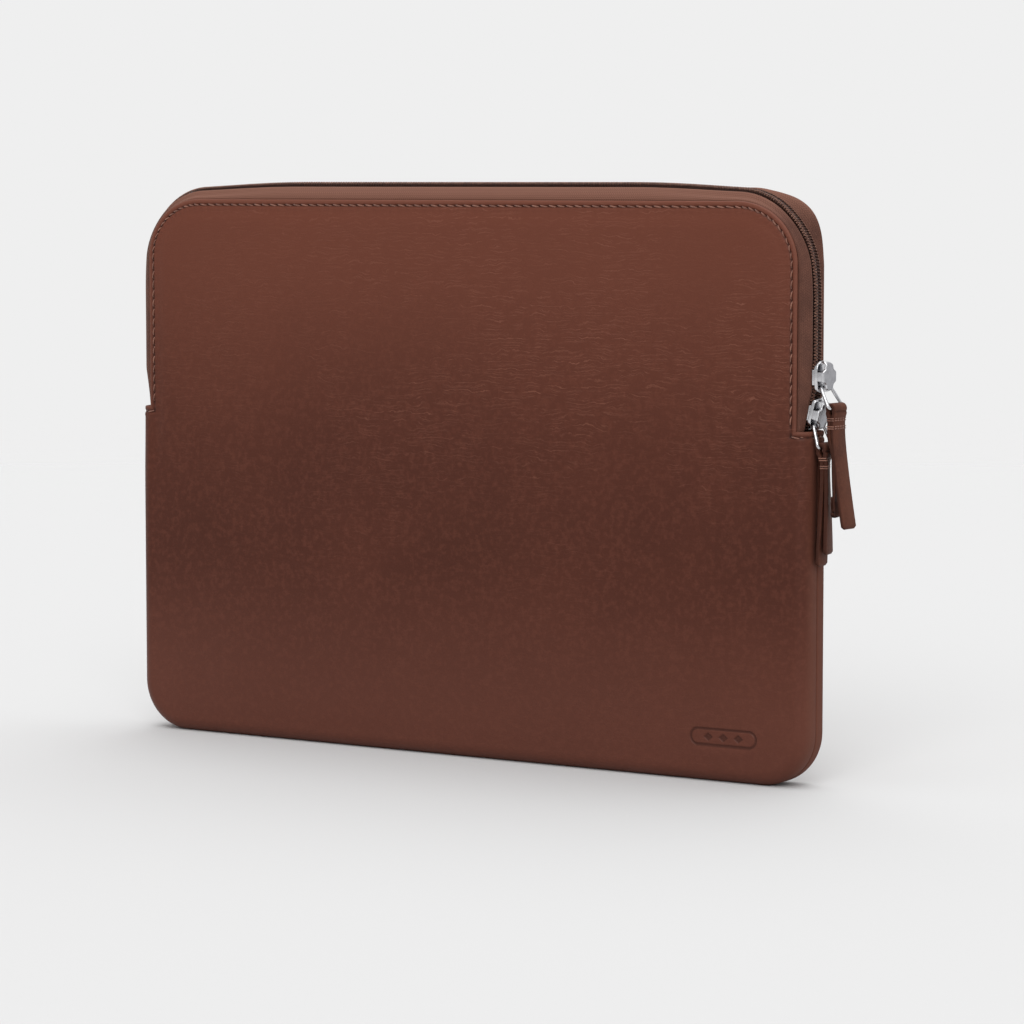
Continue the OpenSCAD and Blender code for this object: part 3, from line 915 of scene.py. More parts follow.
def rim_point(hand, side, inset, z):
    """Point and outward normal on the rim at this height; insets below zero go on down the side."""
    if inset <= 0:
        depth = side * (RIM_FLAT + inset) * NOTCH_SQUEEZE
        return np.array([hand * HALF_W, depth, z]), np.array([hand, 0.0, 0.0])
    angle = math.acos((RIM_R - min(inset, RIM_R)) / RIM_R)
    depth = (RIM_FLAT + RIM_R * math.sin(angle)) * NOTCH_SQUEEZE
    normal = np.array([hand * math.cos(angle), side * math.sin(angle), 0.0])
    return np.array([hand * (HALF_W - inset), side * depth, z]), normal


on_front(stitching("front_stitching", -1, 3), "thread", "front_side_stitches", "flap_topstitch")
on_body(stitching("back_stitching", 1, 11), "sleeve", "thread", "back_topstitch")


# ------------------------------------------------------------------ zip tapes

def chain_path(step, low):
    """Arc lengths, points, outward normals and inward shifts over the chain's way."""
    start = NOTCH_S + (low - ZIP_END)
    count = int(round((2 * HALF_LOOP - 2 * start) / step))
    s = np.linspace(start, 2 * HALF_LOOP - start, count + 1)
    p, n = outline(s)
    return s, p, n, lean_shift(p[:, 1])


CHAIN_DIP, CHAIN_FORWARD = 2.8, 1.2      # how far the chain moves in and to the front at a corner


def spline(points, per_span):
    """Catmull-Rom curve through the first axis of an array of control points."""
    padded = np.concatenate([2 * points[:1] - points[1:2], points, 2 * points[-1:] - points[-2:-1]])
    out = []
    for k in range(len(points) - 1):
        a, b, c, d = padded[k:k + 4]
        for t in np.arange(per_span) / per_span:
            out.append(0.5 * (2 * b + (c - a) * t + (2 * a - 5 * b + 4 * c - d) * t ** 2
                              + (3 * b - a - 3 * c + d) * t ** 3))
    out.append(points[-1])
    return np.array(out)


def tape_sections(s, normal, shift, side):
    """Depth and inset of the tape's control points at every arc length, from the chain outwards.
    At the top corners the front tape lies low beside the dipping chain and the back one bulges."""
    bump = corner_dip(s)
    swell = hump(from_corner(s) + 3.0, 22.0)
    edge = edge_inset_along(normal)
    top = np.clip(normal[:, 1], 0, 1)
    crest = 0.75 + 1.3 * top
    dip = CHAIN_DIP * bump
    forward = -side * CHAIN_FORWARD * bump
    if side < 0:
        low, mid = crest + 0.9 * dip, crest + 0.85 * dip
        fall = np.stack([0.26 + 0.26 * bump, 0.52 + 0.12 * bump, 0.80 + 0 * bump])
    else:
        low, mid = crest + 0.45 * dip, crest - 2.6 * swell
        fall = np.stack([0.26 - 0.20 * swell, 0.52 - 0.25 * swell, 0.80 - 0.24 * swell])
    rows = [(1.3 + forward, 2.1 + 0.3 * top + dip + shift), (2.6 + forward, 1.6 + 0.8 * top + dip + shift),
            (3.3 + forward, 1.2 + 1.1 * top + dip + shift), (4.1 + 0.6 * forward, low + 0.1 + 0.9 * shift),
            (5.4 + 0.2 * forward, mid + 0.75 * shift), (6.7, mix(mid, edge, fall[0]) + 0.5 * shift),
            (7.6, mix(mid, edge, fall[1]) + 0.3 * shift), (8.0, mix(mid, edge, fall[2]) + 0.1 * shift),
            (7.75, 0.96 * edge), (7.35, edge + 1.2), (7.1, edge + 4.2)]
    return np.array([[y + 0 * s, inset] for y, inset in rows])


def zip_tape(name, side):
    """The tape arches from under the leather's edge to the chain, and ends beside its middle."""
    s, p, n, shift = chain_path(1.2, ZIP_END - 3.5)
    curve = spline(tape_sections(s, n, shift, side), 4)
    tangent = unit(np.gradient(curve, axis=0))
    inward = np.stack([-tangent[:, 1], tangent[:, 0]], 1)
    steps = np.linalg.norm(np.diff(curve, axis=0), axis=1)
    across = np.concatenate([np.zeros((1, len(s))), np.cumsum(steps, 0)]).T
    verts = []
    for layer in (curve, curve + 0.5 * inward):
        q = p[:, None, :] - n[:, None, :] * layer[:, 1].T[:, :, None]
        verts.append(np.stack([q[..., 0], side * layer[:, 0].T, q[..., 1]], -1).reshape(-1, 3))
    rows, cols = len(s), len(curve)
    faces = grid_faces(rows, cols)
    faces += [f[::-1] for f in grid_faces(rows, cols, start=rows * cols)]
    faces += wall_faces(rows, cols)
    obj = make_piece(name, np.vstack(verts), faces, TAPE)
    store_values(obj, "tape_along", np.tile(np.repeat(s, cols), 2))
    store_values(obj, "tape_across", np.tile(across.reshape(-1), 2))
    return obj


on_front(zip_tape("front_tape", -1), "zip_tape", "front_zip_tape_ends", "flap_zip_tape")
on_body(zip_tape("back_tape", 1), "sleeve", "zip_tape", "back_zip_tape")


# ------------------------------------------------------------------ zip coils

COIL_PITCH = 1.3
COIL_HALF_W, COIL_HALF_H, COIL_WIRE = 1.30, 0.80, 0.29
COIL_MIDDLE = 1.32         # distance of a row's middle from the chain's middle
COIL_SINK = 1.1            # how far the rows' middle lies inside the outline
THREAD_HALF_W, THREAD_HALF_H, COIL_THREAD_R = 1.62, 1.12, 0.15
WOUND_UP = (0.31, 0.22, 0.17)      # a direction that no stretch of the wound wires runs along
WEDGE_ROOM = 0.9           # how far each row stands off the middle where a wedge passes
WEDGE_LOW = 1.4            # it starts this far over the lower slider's middle
WEDGE_TOP = 5.5            # it ends this far over the upper slider's middle
CLOSING = 1.2              # length over which the rows close up again


def rows_parted(z):
    """The chain is open between the sliders' wedges, as far as they travel: the sliders' own bodies
    hide its ends at rest."""
    low = sum(box_mm("lower_slider_body"))[2] / 2 + WEDGE_LOW
    top = sum(box_mm("upper_slider_body"))[2] / 2 + WEDGE_TOP
    return WEDGE_ROOM * smooth(low, low + CLOSING, z) * (1 - smooth(top, top + CLOSING, z))


def row_place(s, across, height, side):
    """Point over one coil row: across is the distance from the chain's middle, height rises outwards."""
    p, n = outline(s)
    parted = rows_parted(p[:, 1]) * (p[:, 0] > 0)
    bump = corner_dip(s)
    inset = COIL_SINK - height + lean_shift(p[:, 1]) + CHAIN_DIP * bump
    q = p - n * inset[:, None]
    return np.stack([q[:, 0], side * (across + parted) - CHAIN_FORWARD * bump, q[:, 1]], -1)


def row_range():
    start = NOTCH_S + 1.4
    return start, 2 * HALF_LOOP - start


def zip_coil(name, side):
    """One row of the chain: a monofilament wound flat, hooked into the other row by half a turn."""
    start, stop = row_range()
    turns = int((stop - start) / COIL_PITCH)
    angle = np.linspace(0, 2 * math.pi * turns, turns * 12 + 1)
    turn_shift = 0.0 if side < 0 else 0.5
    s = np.clip(start + COIL_PITCH * (angle / (2 * math.pi) + turn_shift), start, stop)
    path = row_place(s, COIL_MIDDLE + COIL_HALF_W * np.cos(angle), COIL_HALF_H * np.sin(angle), side)
    verts, faces = tube(path, COIL_WIRE, 6, up=WOUND_UP)
    return make_piece(name, verts, faces, COIL)


def coil_thread(name, side):
    """The sewing thread that holds a coil row to its tape: it crosses each loop from top to side."""
    start, stop = row_range()
    s = np.arange(start + 0.6, stop - 0.6, COIL_PITCH / 8)
    over = np.radians(50 + 38 * np.sin(2 * math.pi * s / COIL_PITCH))
    path = row_place(s, COIL_MIDDLE + THREAD_HALF_W * np.cos(over),
                     THREAD_HALF_H * np.sin(over), side)
    verts, faces = tube(path, COIL_THREAD_R, 5, up=WOUND_UP)
    return make_piece(name, verts, faces, COIL_THREAD)


on_front(zip_coil("front_coil", -1), "zip_coil", "front_zip_coil_ends", "flap_zip_coil")
on_body(zip_coil("back_coil", 1), "sleeve", "zip_coil", "back_zip_coil")
on_front(coil_thread("front_coil_thread", -1), "thread")
on_body(coil_thread("back_coil_thread", 1), "sleeve", "thread")


# ------------------------------------------------------------------ lining and padding

SHEET_STEP = 2.4           # point distance along a sheet's rim


def loop_sheet(name, side, rows_low, rows_high, face_y, material, corner_in=0.0):
    """A sheet that fills the outline: rows from its rim inwards, then its face. The rows change from
    rows_low round the bottom to rows_high over the top."""
    count = int(2 * HALF_LOOP / SHEET_STEP)
    s = np.linspace(0, 2 * HALF_LOOP, count, endpoint=False)
    p, n = outline(s)
    weight = smooth(ZIP_END - 12, ZIP_END + 12, p[:, 1])
    weight = np.where(p[:, 1] < BOTTOM_R, 0.0, weight)
    verts = []
    for k, ((inset_low, y_low), (inset_high, y_high)) in enumerate(zip(rows_low, rows_high)):
        pulled_in = corner_in * corner_dip(s) * (1 - k / (len(rows_low) - 1))
        inset = mix(inset_low, inset_high, weight) + pulled_in
        y = mix(y_low, y_high, weight)
        q = p - n * inset[:, None]
        verts.extend(np.stack([q[:, 0], side * y * np.ones(count), q[:, 1]], -1))
    rows = len(rows_low)
    faces = grid_faces(rows, count, closed_cols=True)
    ring = list(range((rows - 1) * count, rows * count))
    gx, gz = np.meshgrid(np.arange(-HALF_W, HALF_W, 5.0), np.arange(0, HEIGHT, 5.0))
    inside = np.stack([gx.ravel(), gz.ravel()], -1)
    gap = np.where(inside[:, 1] > HEIGHT / 2, TOP_R - past_corner(inside, TOP_R, True),
                   BOTTOM_R - past_corner(inside, BOTTOM_R, False))
    inner = mix(rows_low[-1][0], rows_high[-1][0], smooth(ZIP_END - 12, ZIP_END + 12, inside[:, 1])) + 2.2
    inside = inside[gap > inner]
    faces += fill_loop(ring, inside, verts, lambda x, z: side * (face_y + 0.25 * float(crown(x, z))))
    return make_piece(name, np.array([np.asarray(v, float) for v in verts]), faces, material)


def lining(name, side):
    """Lining with its pocket wall round the bottom, stitched to the tape over the top."""
    rows_low = [(12.9, 0.08), (12.6, 1.2), (12.5, 3.0), (12.6, 4.6), (13.1, 5.6), (14.2, 6.15), (16.0, 6.3)]
    rows_high = [(5.0, 6.6), (5.8, 6.5), (7.2, 6.4), (9.0, 6.35), (11.2, 6.3), (13.5, 6.3), (16.0, 6.3)]
    obj = loop_sheet(name, side, rows_low, rows_high, 6.3, LINING, corner_in=CHAIN_DIP)
    solidify(obj, 0.5, 1.0)
    apply_modifiers(obj)
    return obj


def padding(name, side):
    """Foam between leather and lining: a thin crowned slab with rounded edges."""
    def closed_rows(i0):
        return [(i0 + 2.4, 6.95), (i0 + 0.6, 7.0), (i0, 7.4), (i0, 8.2), (i0 + 0.7, 8.7), (i0 + 2.6, 8.85)]
    outer = loop_sheet(name, side, closed_rows(7.3), closed_rows(17.5), 8.85, FOAM)
    inner = loop_sheet(name + "_inner", side, [(9.7, 6.95), (11.5, 6.95)],
                       [(19.9, 6.95), (21.5, 6.95)], 6.95, FOAM)
    bm = bmesh.new()
    bm.from_mesh(outer.data)
    bm.from_mesh(inner.data)
    bmesh.ops.remove_doubles(bm, verts=bm.verts, dist=0.02 * MM)
    bmesh.ops.recalc_face_normals(bm, faces=bm.faces)
    bm.to_mesh(outer.data)
    bm.free()
    bpy.data.objects.remove(inner)
    shade_smooth(outer.data)
    store_rest(outer)
    return outer


on_front(padding("front_padding", -1), "foam", "front_foam", "flap_foam")
on_body(padding("back_padding", 1), "sleeve", "foam", "back_foam")
on_front(lining("front_lining_sheet", -1), "lining", "front_lining", "flap_lining")
on_body(lining("back_lining_sheet", 1), "sleeve", "lining", "back_lining")


def bumper():
    """Foam roll round the bottom and the lower sides."""
    top = NOTCH_S - BUMPER_DROP - 0.5
    s = np.linspace(-top, top, 260)
    p, n = outline(s)
    a = np.linspace(0, 2 * math.pi, 28, endpoint=False)
    middle, half_w, half_h, power = 7.25, 4.55, 6.0, 0.55
    wide = half_w * np.sign(np.cos(a)) * np.abs(np.cos(a)) ** power
    y = half_h * np.sign(np.sin(a)) * np.abs(np.sin(a)) ** power
    verts = []
    for i in range(len(s)):
        shrink = 0.75 if i in (0, len(s) - 1) else 1.0
        q = p[i][None] - n[i][None] * (middle + wide * shrink)[:, None]
        verts.extend(np.stack([q[:, 0], y * shrink, q[:, 1]], -1))
    faces = grid_faces(len(s), len(a), closed_cols=True)
    faces.append(tuple(range(len(a))))
    faces.append(tuple(range(len(verts) - len(a), len(verts)))[::-1])
    obj = make_piece("bumper_roll", np.array(verts), faces, FOAM)
    return obj


on_body(bumper(), "sleeve", "foam", "edge_bumper")


# ------------------------------------------------------------------ sliders

def slider_place(which):
    """Origin and axes of a slider's own frame: height over the chain, depth, and along the chain."""
    if which == "upper":
        lo, hi = box_mm("upper_slider_body")
        origin = np.array([HALF_W, 0.0, (lo[2] + hi[2]) / 2])
        return origin, np.array([[1, 0, 0], [0, 1, 0], [0, 0, -1.0]])
    bar = joint_mm("lower_ring_swing")
    over = np.array([math.cos(LEAN), 0, -math.sin(LEAN)])
    up = np.array([math.sin(LEAN), 0, math.cos(LEAN)])
    return bar - 2.95 * over + 4.0 * up, np.array([over, [0, 1, 0], up])


def placed(points, place):
    origin, axes = place
    return origin + np.asarray(points, float) @ axes


def rounded_plan(points, radius, steps=5):
    """A closed outline with its corners rounded."""
    points = np.asarray(points, float)
    out = []
    for i in range(len(points)):
        a, b, c = points[i - 1], points[i], points[(i + 1) % len(points)]
        r1 = min(radius, np.linalg.norm(a - b) * 0.48)
        r2 = min(radius, np.linalg.norm(c - b) * 0.48)
        p0 = b + (a - b) / np.linalg.norm(a - b) * r1
        p2 = b + (c - b) / np.linalg.norm(c - b) * r2
        for t in np.linspace(0, 1, steps):
            out.append((1 - t) ** 2 * p0 + 2 * t * (1 - t) * b + t * t * p2)
    return np.array(out)


def prism(plan, low, high):
    """A plate: plan points are (depth, along), extruded over heights low to high."""
    n = len(plan)
    base = np.column_stack([np.full(n, low), plan])
    top = np.column_stack([np.full(n, high), plan])
    faces = [(i, (i + 1) % n, n + (i + 1) % n, n + i) for i in range(n)]
    faces.append(tuple(range(n))[::-1])
    faces.append(tuple(range(n, 2 * n)))
    return np.vstack([base, top]), faces


def block(lo, hi):
    plan = [(lo[1], lo[2]), (hi[1], lo[2]), (hi[1], hi[2]), (lo[1], hi[2])]
    return prism(np.array(plan), lo[0], hi[0])


def slider_body(which):
    """Two shield-shaped plates joined by the wedge at the mouth, with guides down both sides."""
    h = 6.3
    plan = rounded_plan([(-3.1, -h), (3.1, -h), (5.2, -h + 2.6), (5.2, h - 5.2), (4.5, h - 0.9),
                         (3.2, h), (-3.2, h), (-4.5, h - 0.9), (-5.2, h - 5.2), (-5.2, -h + 2.6)], 1.4)
    parts = [prism(plan, 0.4, 1.9), prism(plan, -3.85, -2.75)]
    for hand in (-1, 1):
        y = sorted((hand * 5.1, hand * 4.1))
        parts.append(block((-0.62, y[0], -2.9), (0.5, y[1], 3.4)))
        parts.append(block((-2.85, y[0], -2.9), (-2.0, y[1], 3.4)))
    wedge = rounded_plan([(-0.34, 2.9), (0.34, 2.9), (0.42, 5.6), (-0.42, 5.6)], 0.3)
    parts.append(prism(wedge, -2.8, 0.5))
    verts, faces = join_parts(parts)
    obj = make_piece(which + "_slider_shell", placed(verts, slider_place(which)), faces, METAL)
    bevel(obj, 0.34, 3)
    apply_modifiers(obj)
    return obj


def slider_cap(which):
    """Wide domed cap, widest between its shoulders, with a shallow panel sunk in its top and two legs."""
    half_l, shoulder, half_w, end_w = 6.2, 1.9, 5.6, 2.2
    along = np.linspace(-half_l, half_l, 65)
    u = np.abs(along)
    width = np.interp(u, [0, shoulder, shoulder + 1.1, half_l - 0.8, half_l],
                      [half_w, half_w, 3.4, end_w + 0.3, 1.5])
    kernel = np.array([1, 3, 4, 3, 1]) / 12.0
    width[2:-2] = np.convolve(width, kernel, "valid")
    top = 5.2 - 1.9 * smooth(4.3, 6.6, u) ** 1.5
    a = np.linspace(-1, 1, 33)
    side_gap = width[:, None] * (1 - np.abs(a)[None, :])
    end_gap = (half_l - u)[:, None]
    rim = np.minimum(side_gap, end_gap)
    height = top[:, None] - 0.42 * (1 - smooth(0.0, 0.55, rim)) - 0.24 * smooth(0.8, 1.15, rim)
    under = np.repeat(np.where(u < half_l - 1.0, 4.0, 1.95)[:, None], len(a), 1)
    rows, cols = len(along), len(a)
    across, lengthways = width[:, None] * a[None, :], np.repeat(along[:, None], cols, 1)
    layers = [np.stack([layer, across, lengthways], -1).reshape(-1, 3)
              for layer in (height, np.minimum(under, height - 0.25))]
    faces = grid_faces(rows, cols) + [f[::-1] for f in grid_faces(rows, cols, start=rows * cols)]
    cap = (np.vstack(layers), faces + wall_faces(rows, cols))
    walls = [block((1.85, y - 0.6, -1.8), (4.1, y + 0.6, 1.8)) for y in (-4.5, 4.5)]
    verts, faces = join_parts([cap] + walls)
    obj = make_piece(which + "_slider_bridge", placed(verts, slider_place(which)), faces, CAP_METAL_SHADED)
    # Painted highlight: the cap's rim is painted near-white, and its legs partly so.
    rim_highlight = (0.8 * (1 - smooth(0.2, 0.5, rim))).ravel()
    on_walls = np.full(len(verts) - 2 * rim.size, 0.6)
    store_values(obj, "rim_highlight", np.concatenate([rim_highlight, rim_highlight, on_walls]))
    bevel(obj, 0.14, 2)
    apply_modifiers(obj)
    return obj


def lock_spring(which):
    """Curved leaf under the bridge with the locking pin at its middle."""
    t = np.linspace(-1, 1, 17)
    leaf = np.column_stack([3.86 - 0.12 * t ** 2, np.zeros(17), 5.1 * t])
    corners = ((-0.1, -1.15), (0.1, -1.15), (0.1, 1.15), (-0.1, 1.15))
    strip = np.stack([leaf + [lift, y, 0] for lift, y in corners], 1).reshape(-1, 3)
    faces = grid_faces(17, 4, closed_cols=True) + [(0, 1, 2, 3), (67, 66, 65, 64)]
    pin = tube(np.array([[3.75, 0, -1.2], [2.0, 0, -1.2], [0.5, 0, -1.2], [0.1, 0, -1.2]]), 0.4, 10,
               up=(0, 1, 0))
    verts, all_faces = join_parts([(strip, faces), pin])
    obj = make_piece(which + "_lock_leaf", placed(verts, slider_place(which)), all_faces, STEEL)
    bevel(obj, 0.04, 2)
    apply_modifiers(obj)
    return obj


for which in ("upper", "lower"):
    body = which + "_slider"
    on_body(slider_body(which), body, "slider_metal", which + "_slider_body")
    on_body(slider_cap(which), body, "slider_metal", which + "_slider_cap")
    on_body(lock_spring(which), body, "spring_steel", which + "_lock_spring")


STAPLE_R = 0.5


def zip_stop(name, hand):
    """Folded metal staple that closes the chain's lower end."""
    lo, hi = box_mm(name)
    mid = (lo + hi) / 2
    size = (hi - lo) / 2
    t = np.linspace(0, math.pi, 13)
    path = np.column_stack([mid[0] + hand * (size[0] * 0.75 * np.sin(t) - 0.5),
                            size[1] * 0.8 * np.cos(t), np.full(13, mid[2])])
    path = np.vstack([path[0] - [hand * 1.0, 0, 0], path, path[-1] - [hand * 1.0, 0, 0]])
    verts, faces = tube(path, STAPLE_R, 10, up=(0, 0, 1))
    return make_piece(name + "_staple", verts, faces, METAL)


on_body(zip_stop("zip_stop_left", -1), "sleeve", "slider_metal", "zip_stop_left")
on_body(zip_stop("zip_stop_right", 1), "sleeve", "slider_metal", "zip_stop_right")


# ------------------------------------------------------------------ pulls

RING_TOP_W, RING_LOW_W, RING_DROP, WIRE_R = 4.2, 6.4, 10.0, 0.7


def pull_ring(which):
    """A bent wire loop: narrow bar in the slider, wide bar through the leather."""
    top = joint_mm(which + "_ring_swing")
    bar = joint_mm(which + "_strap_swing")
    down = (bar - top) / np.linalg.norm(bar - top)
    across = np.array([0.0, 1.0, 0.0])
    corners = [(-RING_TOP_W, 0), (RING_TOP_W, 0), (RING_LOW_W, RING_DROP), (-RING_LOW_W, RING_DROP)]
    plan = rounded_plan(corners, 2.0, 9)
    closed = np.vstack([plan, plan[:1]])
    length = run_lengths(closed)
    even = np.linspace(0, length[-1], 96, endpoint=False)
    plan = np.column_stack([np.interp(even, length, closed[:, 0]), np.interp(even, length, closed[:, 1])])
    path = top + plan[:, :1] * across + plan[:, 1:] * down
    flat = np.cross(down, across)
    verts, faces = tube(path, WIRE_R, 12, closed=True, up=flat)
    return make_piece(which + "_wire_ring", verts, faces, METAL)


def ribbon(path, half_width, thickness, round_end):
    """A leather strip with round ends along a path in the XZ plane, and how near each of its points
    lies to a cut edge."""
    wide = np.array([0.0, 1.0, 0.0])
    normal = unit(np.cross(unit(np.gradient(path, axis=0)), wide))
    length = run_lengths(path)
    from_end = np.minimum(length, length[-1] - length)
    r = round_end
    pull_in = np.where(from_end < r, r - np.sqrt(np.clip(r * r - (r - from_end) ** 2, 0, None)), 0.0)
    section = []
    e = 0.42
    for hand, start in ((1, -90), (-1, 90)):
        for a in np.linspace(start, start + 180, 7):
            section.append((hand, math.cos(math.radians(a)), math.sin(math.radians(a))))
    verts, edge = [], []
    for i in range(len(path)):
        w = half_width - pull_in[i]
        h = thickness / 2
        if i in (0, len(path) - 1):
            h *= 0.6
            w -= 0.1
        for hand, c, s in section:
            y = hand * (w - e) + c * e
            verts.append(path[i] + normal[i] * s * h + wide * y)
            edge.append(max(0.0, abs(c) * 0.95))
    cols = len(section)
    faces = grid_faces(len(path), cols, closed_cols=True)
    faces.append(tuple(range(cols)))
    faces.append(tuple(range(len(verts) - cols, len(verts)))[::-1])
    return np.array(verts), faces, np.array(edge)


def twist(verts, bar, amount_at):
    """Turns points about the vertical through bar. The angle depends on how far down they are, and on
    which tail they belong to: positive x is the outer one."""
    d = verts - bar
    angle = amount_at(-d[:, 2], d[:, 0] > 0)
    c, s = np.cos(angle), np.sin(angle)
    return np.column_stack([bar[0] + d[:, 0] * c - d[:, 1] * s, bar[1] + d[:, 0] * s + d[:, 1] * c,
                            verts[:, 2]])


PULL_HALF_W, PULL_T, NECK = 4.9, 1.5, 9.0
LAYER_X = 0.80                                # each layer's middle, from the fold's middle
TAIL_ROUND = 1.3                              # radius of a tail's corners
BAR_GAP = 0.12                                # room between the ring's bar and the leather round it


def strap_side(hand, out_at_end, length, bow):
    """One side of the folded strip, from the loop's shoulder down to its tail's end."""
    z = np.linspace(-1.9, -length, 46)
    t = np.clip((-z - NECK) / (length - NECK), 0, 1)
    x = hand * (LAYER_X + 0.75 * smooth(-4.2, -1.9, z)) + out_at_end * t ** 1.5 + bow * np.sin(t * math.pi)
    return np.column_stack([x, np.zeros(len(z)), z])


def tail_room(d):
    """How far the upper pull's inner tail gives way to the edge of the lower pull behind it."""
    inner_tail = d[:, 0] < 0.6
    return 0.42 * np.clip(0.5 - d[:, 1], 0, None) * smooth(10, 21, -d[:, 2]) * inner_tail


def pull_strap(which, outer, inner, amount_at, along_bar):
    """A strip folded over the ring's bar and sewn below it, with two loose tails."""
    bar = joint_mm(which + "_strap_swing") + [0, along_bar, 0]
    loop_r = WIRE_R + BAR_GAP + PULL_T / 2
    a = np.radians(np.linspace(-38, 218, 21))
    loop = np.column_stack([loop_r * np.cos(a), np.zeros(len(a)), loop_r * np.sin(a)])
    right, left = strap_side(1, *outer), strap_side(-1, *inner)
    path = np.vstack([right[::-1], loop, left]) + bar
    verts, faces, edge = ribbon(path, PULL_HALF_W, PULL_T, TAIL_ROUND)
    if which == "upper":
        verts[:, 0] += tail_room(verts - bar)
    verts = twist(verts, bar, amount_at)
    obj = make_piece(which + "_folded_pull", verts, faces, PULL_LEATHER)
    store_values(obj, "cut_edge", np.clip(edge * 1.2 - 0.35, 0, 0.8))
    parts = []
    t = np.linspace(-1, 1, 9)
    for z in (-3.9, -4.75, -7.15, -8.0):
        for hand in (-1, 1):
            x = hand * (LAYER_X + PULL_T / 2 - 0.02)
            out = np.array([float(hand), 0, 0])
            for y in (-3.95 + k * 2.02 for k in range(4)):
                parts.append(one_stitch(bar + [x, y, z], bar + [x, y + 1.75, z + 0.12], out, 0.52,
                                        PULL_STITCH_R))
        for hand in (-1, 1):
            over = hand * (PULL_HALF_W + 0.12 - 0.15 * t ** 2)
            parts.append(tube(bar + np.column_stack([1.55 * t, over, np.full(9, z)]), PULL_STITCH_R, 6,
                              up=(0, 0, 1)))
    v, f = join_parts(parts)
    thread = make_piece(which + "_pull_thread", twist(v, bar, amount_at), f, THREAD)
    return obj, thread


def upper_twist(down, _outer):
    """The upper pull hangs almost flat; both of its tails turn the same way."""
    return np.radians(-3.0 - 2.0 * smooth(5, 45, down))


def lower_twist(down, outer):
    """The lower pull hangs turned, almost edge-on to the front, and its tails turn back."""
    neck = 2.0 + 19.0 * smooth(-0.5, 7, down)
    return np.radians(neck - np.where(outer, 10.0, 16.0) * smooth(9, 46, down))


# Each tail is given by how far its end stands off, its length and its bow.
STRAPS = {
    "upper": ((5.6, 48.3, 0.3), (1.2, 43.8, -0.2), upper_twist, 0.0),
    "lower": ((0.7, 43.0, 0.2), (-0.5, 47.8, 0.1), lower_twist, -0.2),
}
for which, (outer, inner, amount_at, along_bar) in STRAPS.items():
    on_body(pull_ring(which), which + "_ring", "slider_metal", which + "_pull_ring")
    strap_piece, thread_piece = pull_strap(which, outer, inner, amount_at, along_bar)
    on_body(strap_piece, which + "_strap", "pull_leather", which + "_pull_strap")
    on_body(thread_piece, which + "_strap", "thread", which + "_pull_stitches")


# ------------------------------------------------------------------ stage, lights and camera

FLOOR_CLEAR = (0.7, 2.4)                      # the floor melts into the backdrop between these distances


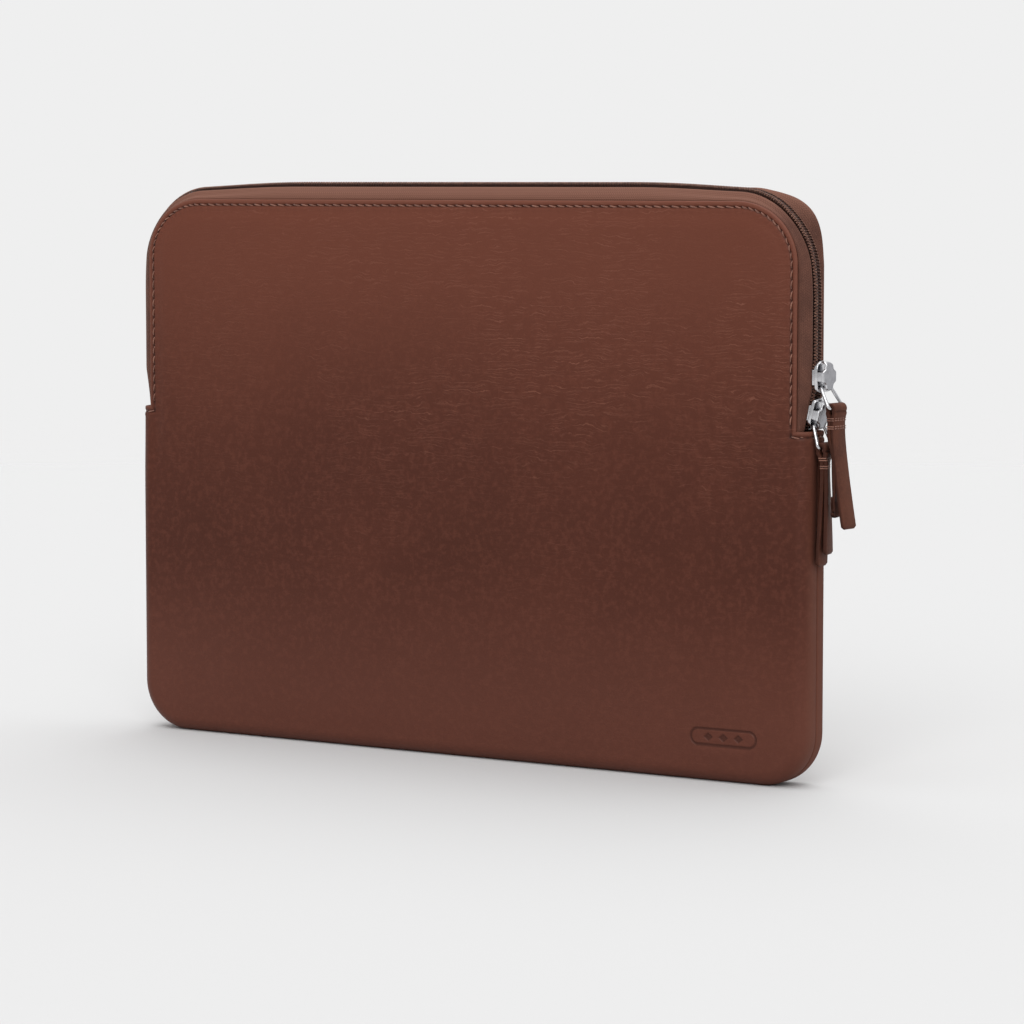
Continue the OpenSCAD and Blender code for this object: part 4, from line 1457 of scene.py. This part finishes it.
def floor():
    """A pale floor that fades into the backdrop's colour far from the sleeve."""
    n = 96
    radii = np.array([0, 0.25, 0.6, 1.2, 2.5])
    a = np.linspace(0, 2 * math.pi, n, endpoint=False)
    verts = [(0, 0, 0)]
    for r in radii[1:]:
        verts += [(r * math.cos(t), r * math.sin(t), 0) for t in a]
    faces = [(0, 1 + i, 1 + (i + 1) % n) for i in range(n)]
    for k in range(len(radii) - 2):
        b = 1 + k * n
        faces += [(b + i, b + n + i, b + n + (i + 1) % n, b + (i + 1) % n) for i in range(n)]
    mesh = bpy.data.meshes.new("studio_floor")
    mesh.from_pydata(verts, [], faces)
    obj = add_object("studio_floor", mesh)
    material = bpy.data.materials.new("floor_paper")
    material.use_nodes = True
    tree = material.node_tree
    tree.nodes.clear()
    paper = add_node(tree, "BsdfDiffuse", {"Color": (0.59, 0.59, 0.59, 1)})
    clear = add_node(tree, "BsdfTransparent", {})
    place = add_node(tree, "TexCoord", {})
    length = add_node(tree, "VectorMath", {0: place.outputs["Object"]}, operation="LENGTH")
    inputs = {"Value": length.outputs["Value"], "From Min": FLOOR_CLEAR[0], "From Max": FLOOR_CLEAR[1]}
    fade = add_node(tree, "MapRange", inputs, interpolation_type="SMOOTHERSTEP")
    mixer = add_node(tree, "MixShader", {0: fade.outputs["Result"], 1: paper.outputs[0],
                                         2: clear.outputs[0]})
    add_node(tree, "OutputMaterial", {"Surface": mixer.outputs[0]})
    mesh.materials.append(material)


def aim(obj, place, direction):
    obj.location = place
    obj.rotation_euler = direction.to_track_quat("-Z", "Y").to_euler()


def sun(name, place, strength, spread):
    """An even light from the direction of place, softened over an angle in degrees."""
    light = bpy.data.lights.new(name, "SUN")
    light.energy = strength
    light.angle = math.radians(spread)
    aim(add_object(name, light), place, -Vector(place))


def surroundings():
    """A pale backdrop behind the sleeve, and a darker room in front of it."""
    world = bpy.data.worlds.new("studio")
    bpy.context.scene.world = world
    world.use_nodes = True
    tree = world.node_tree
    place = add_node(tree, "TexCoord", {})
    depth = add_node(tree, "SeparateXYZ", {0: place.outputs["Generated"]}).outputs[1]
    room = add_node(tree, "MapRange", {"Value": depth, "From Min": 0.30, "From Max": -0.35},
                    interpolation_type="SMOOTHSTEP")
    paint = add_node(tree, "Mix", {0: room.outputs["Result"], 6: rgb(239, 239, 239),
                                   7: rgb(185, 185, 186)}, data_type="RGBA")
    set_input(tree, tree.nodes["Background"].inputs["Color"], paint.outputs[2])


def studio():
    floor()
    surroundings()
    sun("back_light", (-0.45, 0.85, 1.3), 0.42, 36)
    sun("front_light", (0.42, -0.90, 0.80), 1.48, 40)
    sun("top_light", (0.05, -0.05, 1.0), 1.2, 50)


def camera():
    azimuth, elevation, distance = math.radians(32.15), math.radians(5.10), 1.581
    target = Vector((0.0227, 0.0, 0.1056))
    back = Vector((math.sin(azimuth) * math.cos(elevation), -math.cos(azimuth) * math.cos(elevation),
                   math.sin(elevation)))
    data = bpy.data.cameras.new("camera")
    data.sensor_width = 36.0
    data.lens = 130.96
    obj = add_object("camera", data)
    aim(obj, target + back * distance, -back)
    bpy.context.scene.camera = obj


studio()
camera()
bpy.context.scene.view_settings.view_transform = "Standard"
